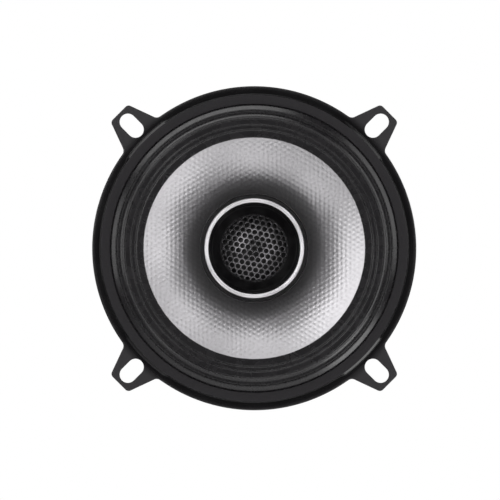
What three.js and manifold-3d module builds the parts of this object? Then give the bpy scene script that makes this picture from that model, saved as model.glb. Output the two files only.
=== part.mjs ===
// A 130 mm (5 1/4 inch class) two-way coaxial car loudspeaker.
//
// Every piece is drawn in the speaker's own frame: the axis is Z, +Z points at the listener,
// +Y is up when the speaker hangs in a door, and Z = 0 is the plane of the panel that it is
// screwed to. The last lines stand the whole group up, so that the listener is at -Y.
// All lengths are in millimetres.

import * as THREE from "three";
import { mergeVertices } from "three/addons/utils/BufferGeometryUtils.js";
import Module from "manifold-3d";

const wasm = await Module();
wasm.setup();

// ---------------------------------------------------------------- driving dimensions

const FINE = 36; // sides of a large turned piece
const COARSE = 24; // sides of a small turned piece
const GLUE = 0.15; // a glued or clamped joint
const OVERCUT = 2; // how far a cutter runs past the face that it cuts

// Frame: a pressed steel basket with a stepped flange and four slotted ears.
const RIM_R = 65;
const SHEET = 1.0;
const FLANGE_Z = 2.2;
const STEP_TOP_R = 61.6;
const STEP_FOOT_R = 62.5;
const EAR_T = 1.2;
const EAR_TIP_R = 76.6;
const EAR_TIP_HALF = 4.86;
const EAR_TAPER = 0.3625; // how much narrower each side gets per millimetre outwards
const EAR_CORNER_R = 1.8;
const EAR_FILLET_R = 2.5;
const EAR_ROOT = 61.9;
const SLOT_R = 69.5; // from the axis to the slot's centre: a 139 mm bolt circle
const SLOT_HALF_WIDTH = 3.3;
const SLOT_HALF_LENGTH = 5.5;
const EAR_ANGLES = [45, 135, 225, 315];

const WALL_TOP = [54.8, -4];
const WALL_FOOT = [43, -19.2];
const LEDGE_Z = -20;
const LEDGE_INNER_R = 35;
const SEAT_Z = -27.5; // the basket's floor
const SEAT_R = 32.1;
const SEAT_HOLE_R = 16.2;
const WINDOW_HALF_DEG = 27;
const WINDOW_Z = [LEDGE_Z + 0.1, -4.5];
const WINDOW_ANGLES = [0, 90, 180, 270];

// Motor.
const PLATE_R = 35;
const TOP_PLATE_Z = -28.5;
const TOP_PLATE_T = 4;
const GAP_R = 14.3; // the hole in the top plate
const MAGNET_R = 38;
const MAGNET_HOLE_R = 16.5;
const MAGNET_T = 13.7;
const BACK_PLATE_T = 4.5;
const POLE_R = 12.1;
const POLE_TOP_Z = -28;
const POLE_BORE_R = 5.2;
const NUT_POCKET_R = 9.6;
const NUT_POCKET_DEPTH = 3.7;
const RIVET_CIRCLE_R = 24;
const RIVET_SHANK_R = 1.5;
const RIVET_CLEAR = 0.2;

const MAGNET_Z = TOP_PLATE_Z - TOP_PLATE_T - GLUE;
const BACK_PLATE_Z = MAGNET_Z - MAGNET_T - GLUE;
const REAR_Z = BACK_PLATE_Z - BACK_PLATE_T;

// Cone, coil and suspension.
const CONE_EDGE = [44.4, 3];
const CONE_LIP_R = 46.8;
const CONE_NECK_R = 12.95;
const CONE_T = 0.7;
const CONE_SLOPE = 9; // the straight share of the cone's depth
const CONE_FLARE = 11; // the flared share of it
const FORMER_R = [12.5, 12.8];
const FORMER_Z = [-35.5, -14.5];
const COIL_R = [12.85, 13.6];
const COIL_Z = [-35, -26];
const BEAD_R = 21.8; // a thin bead around the cone, just outside the tweeter
const SURROUND_T = 0.7;
const SURROUND_INNER_R = 44.6;
const ROLL_R = [46.9, 57.5]; // where the roll starts and ends
const ROLL_FOOT = 3.9;
const ROLL_HEIGHT = 2.7;
const SPIDER_Z = -19.65;
const SPIDER_T = 0.5;
const SPIDER_INNER_R = 12.95;
const SPIDER_OUTER_R = 40.5;
const SPIDER_WAVES = 4;
const SPIDER_WAVE_R = [16, 34.5];
const SPIDER_WAVE_HEIGHT = 1.2;

// Gaskets.
const FRONT_GASKET_R = [57.9, 61.4];
const FRONT_GASKET_TOP = 4.4;
const REAR_GASKET_R = [57.6, 60.7];
const REAR_GASKET_FOOT = -1.2;

// Tweeter.
const POST_R = 9.5;
const POST_TUBE_R = 4.9;
const POST_BORE_R = 3.2;
const POST_TOP_Z = -8.5;
const POST_END_Z = REAR_Z - 0.8;
const NUT_ACROSS_FLATS = 15;
const NUT_T = 2.8;
const WASHER_R = 9;
const WASHER_T = 0.6;
const HOUSING_FLOOR_Z = -6.9;
const TRIM_R = [18.3, 19.9];
const TRIM_FRONT_Z = 6.8;
const GRILLE_R = 13.4;
const GRILLE_RIM_R = 14.2;
const GRILLE_RIM_Z = 3.3;
const GRILLE_RISE = 3.7;
const GRILLE_T = 0.4;
const DOME_R = 12.3;
const DOME_RIM_Z = 1.5;
const DOME_RISE = 3.4;
const DOME_T = 0.3;

// Terminals, above the basket's ledge in the top window.
const TAB_HALF = 16;
const TAB_Y = [40, 46.5];
const BOARD_HALF = 17;
const BOARD_Y = [40.3, 53];
const BOARD_T = 1.6;
const BOARD_Z = LEDGE_Z - SHEET - GLUE; // its front face
const BOARD_RIVET = [13.5, 43];
const BOARD_RIVET_R = 1.2;
const TERMINAL_X = 12;
const TERMINAL_Y = [46.2, 50.9];
const TERMINAL_STUD_Y = 48;
const TERMINAL_STUD_R = 1;
const TERMINAL_T = 0.8;
const POSITIVE_WIDTH = 4.8;
const NEGATIVE_WIDTH = 2.8;
const BLADE_LENGTH = 9.5;
const CAPACITOR = { r: 4, half: 8, y: 44.6, z: -27.3 };
const CAPACITOR_LEAD_R = 0.35;
const TWEETER_LEAD_R = 0.65;
const TINSEL_R = 0.6;

// ---------------------------------------------------------------- materials

const finish = (color, roughness, metalness = 0) =>
  new THREE.MeshStandardMaterial({ color, roughness, metalness });

const MATERIALS = {
  blackSteel: finish(0x1b1b1d, 0.42, 0.4),
  gasket: finish(0x2c2b2e, 0.85),
  foam: finish(0x1a1a1a, 0.95),
  rubber: finish(0x1e1d20, 0.55),
  silverFibre: finish(0xc4c2c6, 0.4, 0.5),
  spiderCloth: finish(0xb08a4c, 0.9),
  kapton: finish(0x8a5a22, 0.4),
  copper: finish(0xb4672e, 0.35, 0.9),
  zincSteel: finish(0xa9abad, 0.35, 0.9),
  ferrite: finish(0x2b2a2b, 0.75),
  blackPlastic: finish(0x0d0d0e, 0.3),
  brightMetal: finish(0xdedede, 0.25, 1),
  grilleMetal: finish(0x55555a, 0.4, 0.9),
  silk: finish(0x141416, 0.7),
  neodymium: finish(0xb9babd, 0.25, 1),
  phenolic: finish(0x5b3a22, 0.7),
  tinned: finish(0xc9c7c0, 0.3, 0.9),
  capacitorSleeve: finish(0x1b2430, 0.4),
  redWire: finish(0x8e1b18, 0.5),
  blackWire: finish(0x141414, 0.5),
  tinsel: finish(0xb88a58, 0.5, 0.6),
  adhesive: finish(0x111111, 0.25),
};

// ---------------------------------------------------------------- helpers

const radians = THREE.MathUtils.degToRad;
const speaker = new THREE.Group();

function add(name, geometry, material) {
  const mesh = new THREE.Mesh(geometry, material);
  mesh.name = name;
  speaker.add(mesh);
  return mesh;
}

// A solid turned about Z from a closed outline of [radius, z] points, in either direction.
function turned(outline, sides = FINE) {
  const points = outline.map(([r, z]) => new THREE.Vector2(r, z));
  if (THREE.ShapeUtils.area(points) < 0) points.reverse();
  points.push(points[0].clone());
  const geometry = new THREE.LatheGeometry(points, sides);
  return geometry.rotateX(Math.PI / 2);
}

// The outline of a turned sheet: a line of [radius, z] points, and the same line moved back.
const sheetOutline = (line, thickness) => [
  ...line,
  ...line.map(([r, z]) => [r, z - thickness]).reverse(),
];

const tube = (inner, outer, low, high, sides) =>
  turned([[inner, low], [outer, low], [outer, high], [inner, high]], sides);

// A plate between two heights from a shape in the XY plane.
function plate(shape, low, high, curveSegments = 5) {
  const depth = high - low;
  const geometry = new THREE.ExtrudeGeometry(shape, { depth, bevelEnabled: false, curveSegments });
  return geometry.translate(0, 0, low);
}

function block([x0, x1], [y0, y1], [z0, z1]) {
  const geometry = new THREE.BoxGeometry(x1 - x0, y1 - y0, z1 - z0);
  return geometry.translate((x0 + x1) / 2, (y0 + y1) / 2, (z0 + z1) / 2);
}

function rod(radius, low, high, x = 0, y = 0, sides = 16) {
  const geometry = new THREE.CylinderGeometry(radius, radius, high - low, sides);
  return geometry.rotateX(Math.PI / 2).translate(x, y, (low + high) / 2);
}

function solid(geometry) {
  const bare = geometry.clone();
  bare.deleteAttribute("normal");
  bare.deleteAttribute("uv");
  const merged = mergeVertices(bare, 1e-4);
  const vertProperties = merged.attributes.position.array;
  const triVerts = new Uint32Array(merged.index.array);
  return new wasm.Manifold(new wasm.Mesh({ numProp: 3, vertProperties, triVerts }));
}

function geometryOf(body) {
  const mesh = body.getMesh();
  const geometry = new THREE.BufferGeometry();
  geometry.setAttribute("position", new THREE.BufferAttribute(mesh.vertProperties, 3));
  geometry.setIndex(new THREE.BufferAttribute(mesh.triVerts, 1));
  return geometry;
}

const joined = (...pieces) =>
  geometryOf(pieces.map(solid).reduce((all, piece) => all.add(piece)));

const cut = (geometry, ...cutters) =>
  geometryOf(cutters.map(solid).reduce((left, cutter) => left.subtract(cutter), solid(geometry)));

// A round wire through a list of points.
function wire(points, radius, steps) {
  const path = new THREE.CatmullRomCurve3(points.map((p) => new THREE.Vector3(...p)), false, "centripetal");
  const section = new THREE.Shape().absarc(0, 0, radius, 0, 2 * Math.PI);
  return new THREE.ExtrudeGeometry(section, { steps, curveSegments: 3, extrudePath: path });
}

// ---------------------------------------------------------------- frame

// One ear, pointing along +X: tapering sides, two rounded corners and a fillet into the rim.
function earShape() {
  const slant = Math.hypot(1, EAR_TAPER);
  const normal = [EAR_TAPER / slant, 1 / slant];
  const offset = normal[0] * EAR_TIP_R + normal[1] * EAR_TIP_HALF;
  const away = RIM_R + EAR_FILLET_R;
  const along = Math.sqrt(away ** 2 - (offset + EAR_FILLET_R) ** 2);
  const fillet = [
    normal[0] * (offset + EAR_FILLET_R) + normal[1] * along,
    normal[1] * (offset + EAR_FILLET_R) - normal[0] * along,
  ];
  const cornerX = EAR_TIP_R - EAR_CORNER_R;
  const cornerY = (offset - EAR_CORNER_R - normal[0] * cornerX) / normal[1];
  const lean = Math.atan2(normal[1], normal[0]);
  const inward = Math.atan2(-fillet[1], -fillet[0]);
  const rimFoot = [(fillet[0] * RIM_R) / away, (fillet[1] * RIM_R) / away];
  const shape = new THREE.Shape();
  shape.moveTo(EAR_ROOT, -rimFoot[1]);
  shape.lineTo(rimFoot[0], -rimFoot[1]);
  shape.absarc(fillet[0], -fillet[1], EAR_FILLET_R, -inward, Math.PI - lean, true);
  shape.absarc(cornerX, -cornerY, EAR_CORNER_R, -lean, 0, false);
  shape.absarc(cornerX, cornerY, EAR_CORNER_R, 0, lean, false);
  shape.absarc(fillet[0], fillet[1], EAR_FILLET_R, lean - Math.PI, inward, true);
  shape.lineTo(EAR_ROOT, rimFoot[1]);
  shape.closePath();
  return shape;
}

function slotShape() {
  const reach = SLOT_HALF_LENGTH - SLOT_HALF_WIDTH;
  const shape = new THREE.Shape();
  shape.absarc(SLOT_R + reach, 0, SLOT_HALF_WIDTH, -Math.PI / 2, Math.PI / 2, false);
  shape.absarc(SLOT_R - reach, 0, SLOT_HALF_WIDTH, Math.PI / 2, 1.5 * Math.PI, false);
  shape.closePath();
  return shape;
}

// A wedge that clears one window of the basket's wall.
function windowCutter(angle) {
  const shape = new THREE.Shape();
  const [inner, outer] = [30, 62];
  shape.absarc(0, 0, outer, radians(-WINDOW_HALF_DEG), radians(WINDOW_HALF_DEG), false);
  shape.absarc(0, 0, inner, radians(WINDOW_HALF_DEG), radians(-WINDOW_HALF_DEG), true);
  return plate(shape, ...WINDOW_Z, 8).rotateZ(radians(angle));
}

function basket() {
  const back = SEAT_Z - SHEET + GLUE;
  const bowl = turned([
    [RIM_R, 0], [RIM_R, 0.55], [RIM_R - 0.5, 0.95], [STEP_FOOT_R, EAR_T],
    [STEP_TOP_R, FLANGE_Z], [57.4, FLANGE_Z], [56.4, 1.7],
    WALL_TOP, WALL_FOOT, [42.2, LEDGE_Z],
    [LEDGE_INNER_R, LEDGE_Z], [34.4, LEDGE_Z - 0.5], [SEAT_R + 0.4, SEAT_Z + 0.5], [SEAT_R, SEAT_Z],
    [SEAT_HOLE_R, SEAT_Z], [SEAT_HOLE_R, back], [SEAT_R + 0.9, back], [SEAT_R + 1.4, back + 0.6],
    [LEDGE_INNER_R + 0.3, LEDGE_Z - SHEET], [42.6, LEDGE_Z - SHEET], [43.9, LEDGE_Z],
    [WALL_TOP[0] + SHEET, WALL_TOP[1] - 0.2], [57.2, FLANGE_Z - SHEET],
    [61, FLANGE_Z - SHEET], [61.9, 0.2], [62.1, 0],
  ]);
  const ears = EAR_ANGLES.map((a) => plate(earShape(), 0, EAR_T).rotateZ(radians(a)));
  const tab = block([-TAB_HALF, TAB_HALF], TAB_Y, [LEDGE_Z - SHEET, LEDGE_Z]);
  const slots = EAR_ANGLES.map((a) =>
    plate(slotShape(), -OVERCUT, EAR_T + OVERCUT).rotateZ(radians(a)));
  const rivetHoles = rivetPlaces().map(([x, y]) =>
    rod(RIVET_SHANK_R + RIVET_CLEAR, back - OVERCUT, SEAT_Z + OVERCUT, x, y));
  const boardHoles = [-1, 1].map((side) =>
    rod(BOARD_RIVET_R + RIVET_CLEAR, LEDGE_Z - SHEET - OVERCUT, LEDGE_Z + OVERCUT,
      side * BOARD_RIVET[0], BOARD_RIVET[1]));
  const windows = cut(bowl, ...WINDOW_ANGLES.map(windowCutter));
  return cut(joined(windows, tab, ...ears), ...slots, ...rivetHoles, ...boardHoles);
}

const rivetPlaces = () =>
  [0, 1, 2, 3].map((i) => {
    const angle = radians(45 + 90 * i);
    return [RIVET_CIRCLE_R * Math.cos(angle), RIVET_CIRCLE_R * Math.sin(angle)];
  });

add("basket", basket(), MATERIALS.blackSteel);
add("front_gasket", turned([
  [FRONT_GASKET_R[0], FLANGE_Z + 1.05], [FRONT_GASKET_R[1], FLANGE_Z + 1.05],
  [FRONT_GASKET_R[1], FRONT_GASKET_TOP - 0.4], [FRONT_GASKET_R[1] - 0.4, FRONT_GASKET_TOP],
  [FRONT_GASKET_R[0], FRONT_GASKET_TOP],
]), MATERIALS.gasket);
add("rear_gasket",
  tube(...REAR_GASKET_R, REAR_GASKET_FOOT, FLANGE_Z - SHEET - GLUE, FINE), MATERIALS.foam);

// ---------------------------------------------------------------- motor

const pocketRoof = REAR_Z + NUT_POCKET_DEPTH;
add("top_plate", cut(
  tube(GAP_R, PLATE_R, TOP_PLATE_Z - TOP_PLATE_T, TOP_PLATE_Z, FINE),
  ...rivetPlaces().map(([x, y]) =>
    rod(RIVET_SHANK_R + RIVET_CLEAR, TOP_PLATE_Z - 3, TOP_PLATE_Z + OVERCUT, x, y)),
), MATERIALS.zincSteel);
add("magnet", turned([
  [MAGNET_HOLE_R, MAGNET_Z], [MAGNET_R - 0.8, MAGNET_Z], [MAGNET_R, MAGNET_Z - 0.8],
  [MAGNET_R, MAGNET_Z - MAGNET_T + 0.8], [MAGNET_R - 0.8, MAGNET_Z - MAGNET_T],
  [MAGNET_HOLE_R, MAGNET_Z - MAGNET_T],
]), MATERIALS.ferrite);
add("back_plate", turned([
  [POLE_BORE_R, POLE_TOP_Z], [POLE_R - 0.5, POLE_TOP_Z], [POLE_R, POLE_TOP_Z - 0.5],
  [POLE_R, BACK_PLATE_Z], [PLATE_R, BACK_PLATE_Z], [PLATE_R, REAR_Z + 0.6],
  [PLATE_R - 0.6, REAR_Z], [NUT_POCKET_R, REAR_Z], [NUT_POCKET_R, pocketRoof],
  [POLE_BORE_R, pocketRoof],
]), MATERIALS.zincSteel);
rivetPlaces().forEach(([x, y], i) => {
  const foot = TOP_PLATE_Z - 2.8;
  const headFoot = SEAT_Z + GLUE;
  const rivet = turned([
    [0, foot], [RIVET_SHANK_R, foot], [RIVET_SHANK_R, headFoot], [2.6, headFoot],
    [2.4, headFoot + 0.7], [1.4, headFoot + 1.1], [0, headFoot + 1.2],
  ], 12);
  add(`motor_rivet_${i + 1}`, rivet.translate(x, y, 0), MATERIALS.zincSteel);
});

// ---------------------------------------------------------------- cone, coil and suspension

// The height of the cone's front face: a straight slope plus a flare that steepens towards the neck.
function coneHeight(r) {
  const inward = (CONE_EDGE[0] - r) / (CONE_EDGE[0] - CONE_NECK_R);
  return CONE_EDGE[1] - CONE_SLOPE * inward - CONE_FLARE * inward ** 3;
}

function coneOutline() {
  const steps = 7;
  const front = [[CONE_LIP_R, CONE_EDGE[1] + 0.1]];
  for (let i = 0; i <= steps; i += 1) {
    const r = CONE_EDGE[0] + ((CONE_NECK_R - CONE_EDGE[0]) * i) / steps;
    front.push([r, coneHeight(r)]);
  }
  return sheetOutline(front, CONE_T);
}

add("cone", turned(coneOutline()), MATERIALS.silverFibre);
add("cone_bead", turned([
  [BEAD_R - 0.3, coneHeight(BEAD_R - 0.3) + 0.15],
  [BEAD_R + 0.3, coneHeight(BEAD_R + 0.3) + 0.15],
  [BEAD_R, coneHeight(BEAD_R) + 0.6],
]), MATERIALS.adhesive);
add("voice_coil_former", tube(...FORMER_R, ...FORMER_Z, COARSE), MATERIALS.kapton);
add("voice_coil_winding", tube(...COIL_R, ...COIL_Z, COARSE), MATERIALS.copper);

// The surround: glued over the cone's edge, then one wide roll and a flange under the gasket.
function surroundOutline() {
  const steps = 8;
  const [start, end] = ROLL_R;
  const flangeZ = FLANGE_Z + 0.2 + SURROUND_T;
  const line = [[SURROUND_INNER_R, ROLL_FOOT]];
  for (let i = 0; i < steps; i += 1) {
    const share = i / steps;
    line.push([start + (end - start) * share, ROLL_FOOT + ROLL_HEIGHT * Math.sin(Math.PI * share)]);
  }
  line.push([end, flangeZ], [FRONT_GASKET_R[1], flangeZ]);
  return sheetOutline(line, SURROUND_T);
}

add("surround", turned(surroundOutline()), MATERIALS.rubber);

// The spider: a flat collar and a flat rim with round waves pressed between them.
function spiderOutline() {
  const [start, end] = SPIDER_WAVE_R;
  const quarters = 4 * SPIDER_WAVES;
  const front = SPIDER_Z + SPIDER_T;
  const line = [[SPIDER_INNER_R, front]];
  line.push([start, front]);
  for (let i = 1; i < quarters; i += 2) {
    const swing = SPIDER_WAVE_HEIGHT * Math.sin((i * Math.PI) / 2);
    line.push([start + ((end - start) * i) / quarters, front + swing]);
  }
  line.push([end, front], [SPIDER_OUTER_R, front]);
  return sheetOutline(line, SPIDER_T);
}

add("spider", turned(spiderOutline()), MATERIALS.spiderCloth);

// ---------------------------------------------------------------- tweeter

const nutZ = pocketRoof - GLUE - WASHER_T - GLUE;
add("tweeter_post", turned([
  [POST_BORE_R, POST_END_Z], [POST_TUBE_R, POST_END_Z], [POST_TUBE_R, POLE_TOP_Z + GLUE],
  [POST_R, POLE_TOP_Z + GLUE], [POST_R, POST_TOP_Z], [POST_BORE_R, POST_TOP_Z],
], COARSE), MATERIALS.blackPlastic);
add("tweeter_post_washer",
  tube(POST_TUBE_R + 0.3, WASHER_R, pocketRoof - GLUE - WASHER_T, pocketRoof - GLUE, COARSE),
  MATERIALS.zincSteel);

const hexagon = new THREE.Shape();
hexagon.setFromPoints([0, 1, 2, 3, 4, 5].map((i) => {
  const corner = NUT_ACROSS_FLATS / Math.sqrt(3);
  return new THREE.Vector2(corner * Math.cos((i * Math.PI) / 3), corner * Math.sin((i * Math.PI) / 3));
}));
hexagon.holes.push(new THREE.Path().absarc(0, 0, POST_TUBE_R + 0.3, 0, 2 * Math.PI, true));
add("tweeter_post_nut", plate(hexagon, nutZ - NUT_T, nutZ, 12), MATERIALS.zincSteel);

add("tweeter_housing", turned([
  [POST_BORE_R + 0.3, POST_TOP_Z + GLUE], [15, POST_TOP_Z + GLUE], [16.8, -6.5],
  [17.5, 2.6], [19.5, 4.4], [19.5, 5.55], [18.1, 5.55], [18.1, 3.6], [16.2, 3.4],
  [15.7, -2], [15.7, HOUSING_FLOOR_Z], [POST_BORE_R + 0.3, HOUSING_FLOOR_Z],
], COARSE), MATERIALS.blackPlastic);
add("tweeter_yoke", turned([
  [0, -6.7], [15.4, -6.7], [15.4, 1.25], [13.3, 1.25], [13.3, -5.4], [0, -5.4],
], COARSE), MATERIALS.zincSteel);
add("tweeter_magnet", turned([[0, -5.25], [11, -5.25], [11, -2.25], [0, -2.25]], COARSE),
  MATERIALS.neodymium);
add("tweeter_pole_plate", turned([[0, -2.1], [11.9, -2.1], [11.9, 0.3], [0, 0.3]], COARSE),
  MATERIALS.zincSteel);
add("tweeter_voice_coil", tube(DOME_R, DOME_R + 0.6, -3, DOME_RIM_Z - GLUE, COARSE),
  MATERIALS.copper);

// A domed sheet: its height above the rim falls off with the square of the radius.
function domeLine(radius, rim, rise, steps) {
  const line = [];
  for (let i = 0; i <= steps; i += 1) {
    const share = i / steps;
    line.push([radius * share, rim + rise * (1 - share ** 2)]);
  }
  return line;
}

add("tweeter_dome", turned(sheetOutline(
  [...domeLine(DOME_R, DOME_RIM_Z + DOME_T, DOME_RISE, 5), [DOME_R + 0.55, DOME_RIM_Z + DOME_T]],
  DOME_T,
), COARSE), MATERIALS.silk);
add("tweeter_surround", turned(sheetOutline(
  [[13.05, 1.8], [13.3, 2.2], [13.9, 2.45], [14.3, 2.1], [14.5, 1.65], [15.5, 1.65]], 0.25,
), COARSE), MATERIALS.silk);
add("tweeter_waveguide", turned([
  [GRILLE_R + 0.05, GRILLE_RIM_Z + 0.45], [GRILLE_R + 0.05, GRILLE_RIM_Z + 0.7], [17.8, 5.5],
  [17.8, 3.75], [16, 3.55], [15.5, 1.85], [14.7, 1.85], [14.7, GRILLE_RIM_Z + 0.45],
], COARSE), MATERIALS.blackPlastic);
add("tweeter_grille", turned(sheetOutline(
  [...domeLine(GRILLE_R - 0.3, GRILLE_RIM_Z, GRILLE_RISE, 5), [GRILLE_RIM_R, GRILLE_RIM_Z]],
  GRILLE_T,
), COARSE), MATERIALS.grilleMetal);
add("tweeter_trim_ring", turned([
  [TRIM_R[0], 5.75], [TRIM_R[0], TRIM_FRONT_Z - 0.5], [TRIM_R[0] + 0.4, TRIM_FRONT_Z],
  [TRIM_R[1] - 0.4, TRIM_FRONT_Z], [TRIM_R[1], TRIM_FRONT_Z - 0.5], [TRIM_R[1], 5.2],
  [TRIM_R[1] - 0.15, 5.2], [TRIM_R[1] - 0.15, 5.75],
], FINE), MATERIALS.brightMetal);

// ---------------------------------------------------------------- terminals and wiring

const boardBack = BOARD_Z - BOARD_T;
const boardRivets = [-1, 1].map((side) => [side * BOARD_RIVET[0], BOARD_RIVET[1]]);
const studPlaces = [-1, 1].map((side) => [side * TERMINAL_X, TERMINAL_STUD_Y]);
add("terminal_board", cut(
  block([-BOARD_HALF, BOARD_HALF], BOARD_Y, [boardBack, BOARD_Z]),
  ...boardRivets.map(([x, y]) =>
    rod(BOARD_RIVET_R + RIVET_CLEAR, boardBack - OVERCUT, BOARD_Z + OVERCUT, x, y)),
  ...studPlaces.map(([x, y]) =>
    rod(TERMINAL_STUD_R + RIVET_CLEAR, boardBack - OVERCUT, BOARD_Z + OVERCUT, x, y)),
), MATERIALS.phenolic);
boardRivets.forEach(([x, y], i) => {
  const back = boardBack - GLUE;
  const front = LEDGE_Z + GLUE;
  const rivet = turned([
    [0, back - 0.8], [1.5, back - 0.7], [2, back], [BOARD_RIVET_R, back],
    [BOARD_RIVET_R, front], [2.2, front], [1.6, front + 0.8], [0, front + 0.9],
  ], 12);
  add(`board_rivet_${i + 1}`, rivet.translate(x, y, 0), MATERIALS.zincSteel);
});

// A push-on terminal: a foot on the board's back, a blade pointing rearwards and a solder stud.
function terminal(x, width) {
  const sides = [x - width / 2, x + width / 2];
  const foot = boardBack - GLUE;
  const tip = foot - BLADE_LENGTH;
  return joined(
    block(sides, TERMINAL_Y, [foot - TERMINAL_T, foot]),
    block(sides, [TERMINAL_Y[1] - TERMINAL_T, TERMINAL_Y[1]], [tip, foot - 0.1]),
    rod(TERMINAL_STUD_R, foot - 0.1, LEDGE_Z + 0.2, x, TERMINAL_STUD_Y),
  );
}

add("terminal_positive", terminal(-TERMINAL_X, POSITIVE_WIDTH), MATERIALS.tinned);
add("terminal_negative", terminal(TERMINAL_X, NEGATIVE_WIDTH), MATERIALS.tinned);

const canister = turned([
  [0, -CAPACITOR.half], [CAPACITOR.r - 0.6, -CAPACITOR.half],
  [CAPACITOR.r, -CAPACITOR.half + 0.6], [CAPACITOR.r, CAPACITOR.half - 0.6],
  [CAPACITOR.r - 0.6, CAPACITOR.half], [0, CAPACITOR.half],
], 20).rotateY(Math.PI / 2);
add("capacitor", canister.translate(0, CAPACITOR.y, CAPACITOR.z), MATERIALS.capacitorSleeve);

const solderZ = boardBack - GLUE - TERMINAL_T - 0.5;
add("capacitor_lead_positive", wire([
  [-CAPACITOR.half - 0.2, CAPACITOR.y, CAPACITOR.z], [-9.8, CAPACITOR.y + 0.1, CAPACITOR.z + 0.3],
  [-11.4, 46, CAPACITOR.z + 1.6], [-TERMINAL_X, TERMINAL_STUD_Y - 0.6, solderZ],
], CAPACITOR_LEAD_R, 8), MATERIALS.tinned);
add("capacitor_lead_tweeter", wire([
  [CAPACITOR.half + 0.2, CAPACITOR.y, CAPACITOR.z], [8.8, CAPACITOR.y, CAPACITOR.z],
  [9.4, CAPACITOR.y - 0.3, CAPACITOR.z - 0.5],
], CAPACITOR_LEAD_R, 4), MATERIALS.tinned);

// The tweeter's two leads drop through the hollow post and turn up over the back plate and the
// magnet. One ends at the capacitor and the other at the negative terminal.
const POST_LEAD_X = 1.1;
const LEAD_TOP_Z = HOUSING_FLOOR_Z - 0.4;
const BACK_RUN_Z = REAR_Z - TWEETER_LEAD_R - 0.25;
const MAGNET_RUN_Y = MAGNET_R + TWEETER_LEAD_R + 0.4;
add("tweeter_lead_positive", wire([
  [-POST_LEAD_X, 0, LEAD_TOP_Z], [-POST_LEAD_X, 0, -30], [-POST_LEAD_X, 0.2, REAR_Z + 2],
  [-POST_LEAD_X, 1.6, POST_END_Z - 0.6], [-0.9, 5.4, POST_END_Z - 1], [-0.4, 12, BACK_RUN_Z],
  [0.4, 24, BACK_RUN_Z], [1, 34, BACK_RUN_Z], [1.4, 37.2, REAR_Z + 0.6],
  [1.7, MAGNET_RUN_Y, REAR_Z + 4.5], [2.6, MAGNET_RUN_Y, -40], [5.4, MAGNET_RUN_Y, -34],
  [8.6, MAGNET_RUN_Y + 1.6, -31.4], [9.9, CAPACITOR.y - 1.2, CAPACITOR.z - 1.6],
], TWEETER_LEAD_R, 36), MATERIALS.redWire);
add("tweeter_lead_negative", wire([
  [POST_LEAD_X, 0, LEAD_TOP_Z], [POST_LEAD_X, 0, -30], [POST_LEAD_X, 0.2, REAR_Z + 2],
  [POST_LEAD_X, 1.6, POST_END_Z - 0.6], [1.2, 5.4, POST_END_Z - 1], [1.6, 12, BACK_RUN_Z],
  [2.6, 24, BACK_RUN_Z], [3.6, 34, BACK_RUN_Z], [4.2, 37.2, REAR_Z + 0.6],
  [4.7, MAGNET_RUN_Y, REAR_Z + 4.5], [5.8, MAGNET_RUN_Y, -40], [9, MAGNET_RUN_Y, -34.4],
  [12.2, MAGNET_RUN_Y + 3, -29.6], [TERMINAL_X, TERMINAL_STUD_Y - 0.9, solderZ - 0.4],
], TWEETER_LEAD_R, 36), MATERIALS.blackWire);

// The braided leads to the voice coil hang in the top window, between the terminals and the cone.
const ANCHOR = [8.5, 24];
const anchorZ = coneHeight(Math.hypot(...ANCHOR)) - CONE_T - 1.5;
["left", "right"].forEach((side, i) => {
  const way = i ? 1 : -1;
  const dab = turned([[0, -1.3], [0.9, -1], [1.5, 0], [0, 0]], 12);
  add(`lead_anchor_${side}`, dab.translate(way * ANCHOR[0], ANCHOR[1], anchorZ), MATERIALS.adhesive);
  add(`tinsel_lead_${side}`, wire([
    [way * TERMINAL_X, TERMINAL_STUD_Y, LEDGE_Z + 0.5], [way * TERMINAL_X, 47.8, -17.2],
    [way * 11.8, 45.2, -14.4], [way * 11.2, 40.4, -14], [way * 10.2, 34, -14.6],
    [way * 9.2, 28, -12.6], [way * ANCHOR[0], ANCHOR[1] + 0.6, anchorZ - 2.2],
  ], TINSEL_R, 20), MATERIALS.tinsel);
});

// ---------------------------------------------------------------- as it hangs in a door

speaker.rotation.x = Math.PI / 2;

export default speaker;
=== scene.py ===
"""A 130 mm coaxial car loudspeaker: its looks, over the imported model.

Shapes are worked out in the speaker's own frame, in millimetres: z is the axis and points at
the listener, y is up and x is to the right. build() turns them into the row's frame, in metres.
"""
import math

import bmesh
import bpy
import numpy as np
from mathutils import Matrix, Vector


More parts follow.
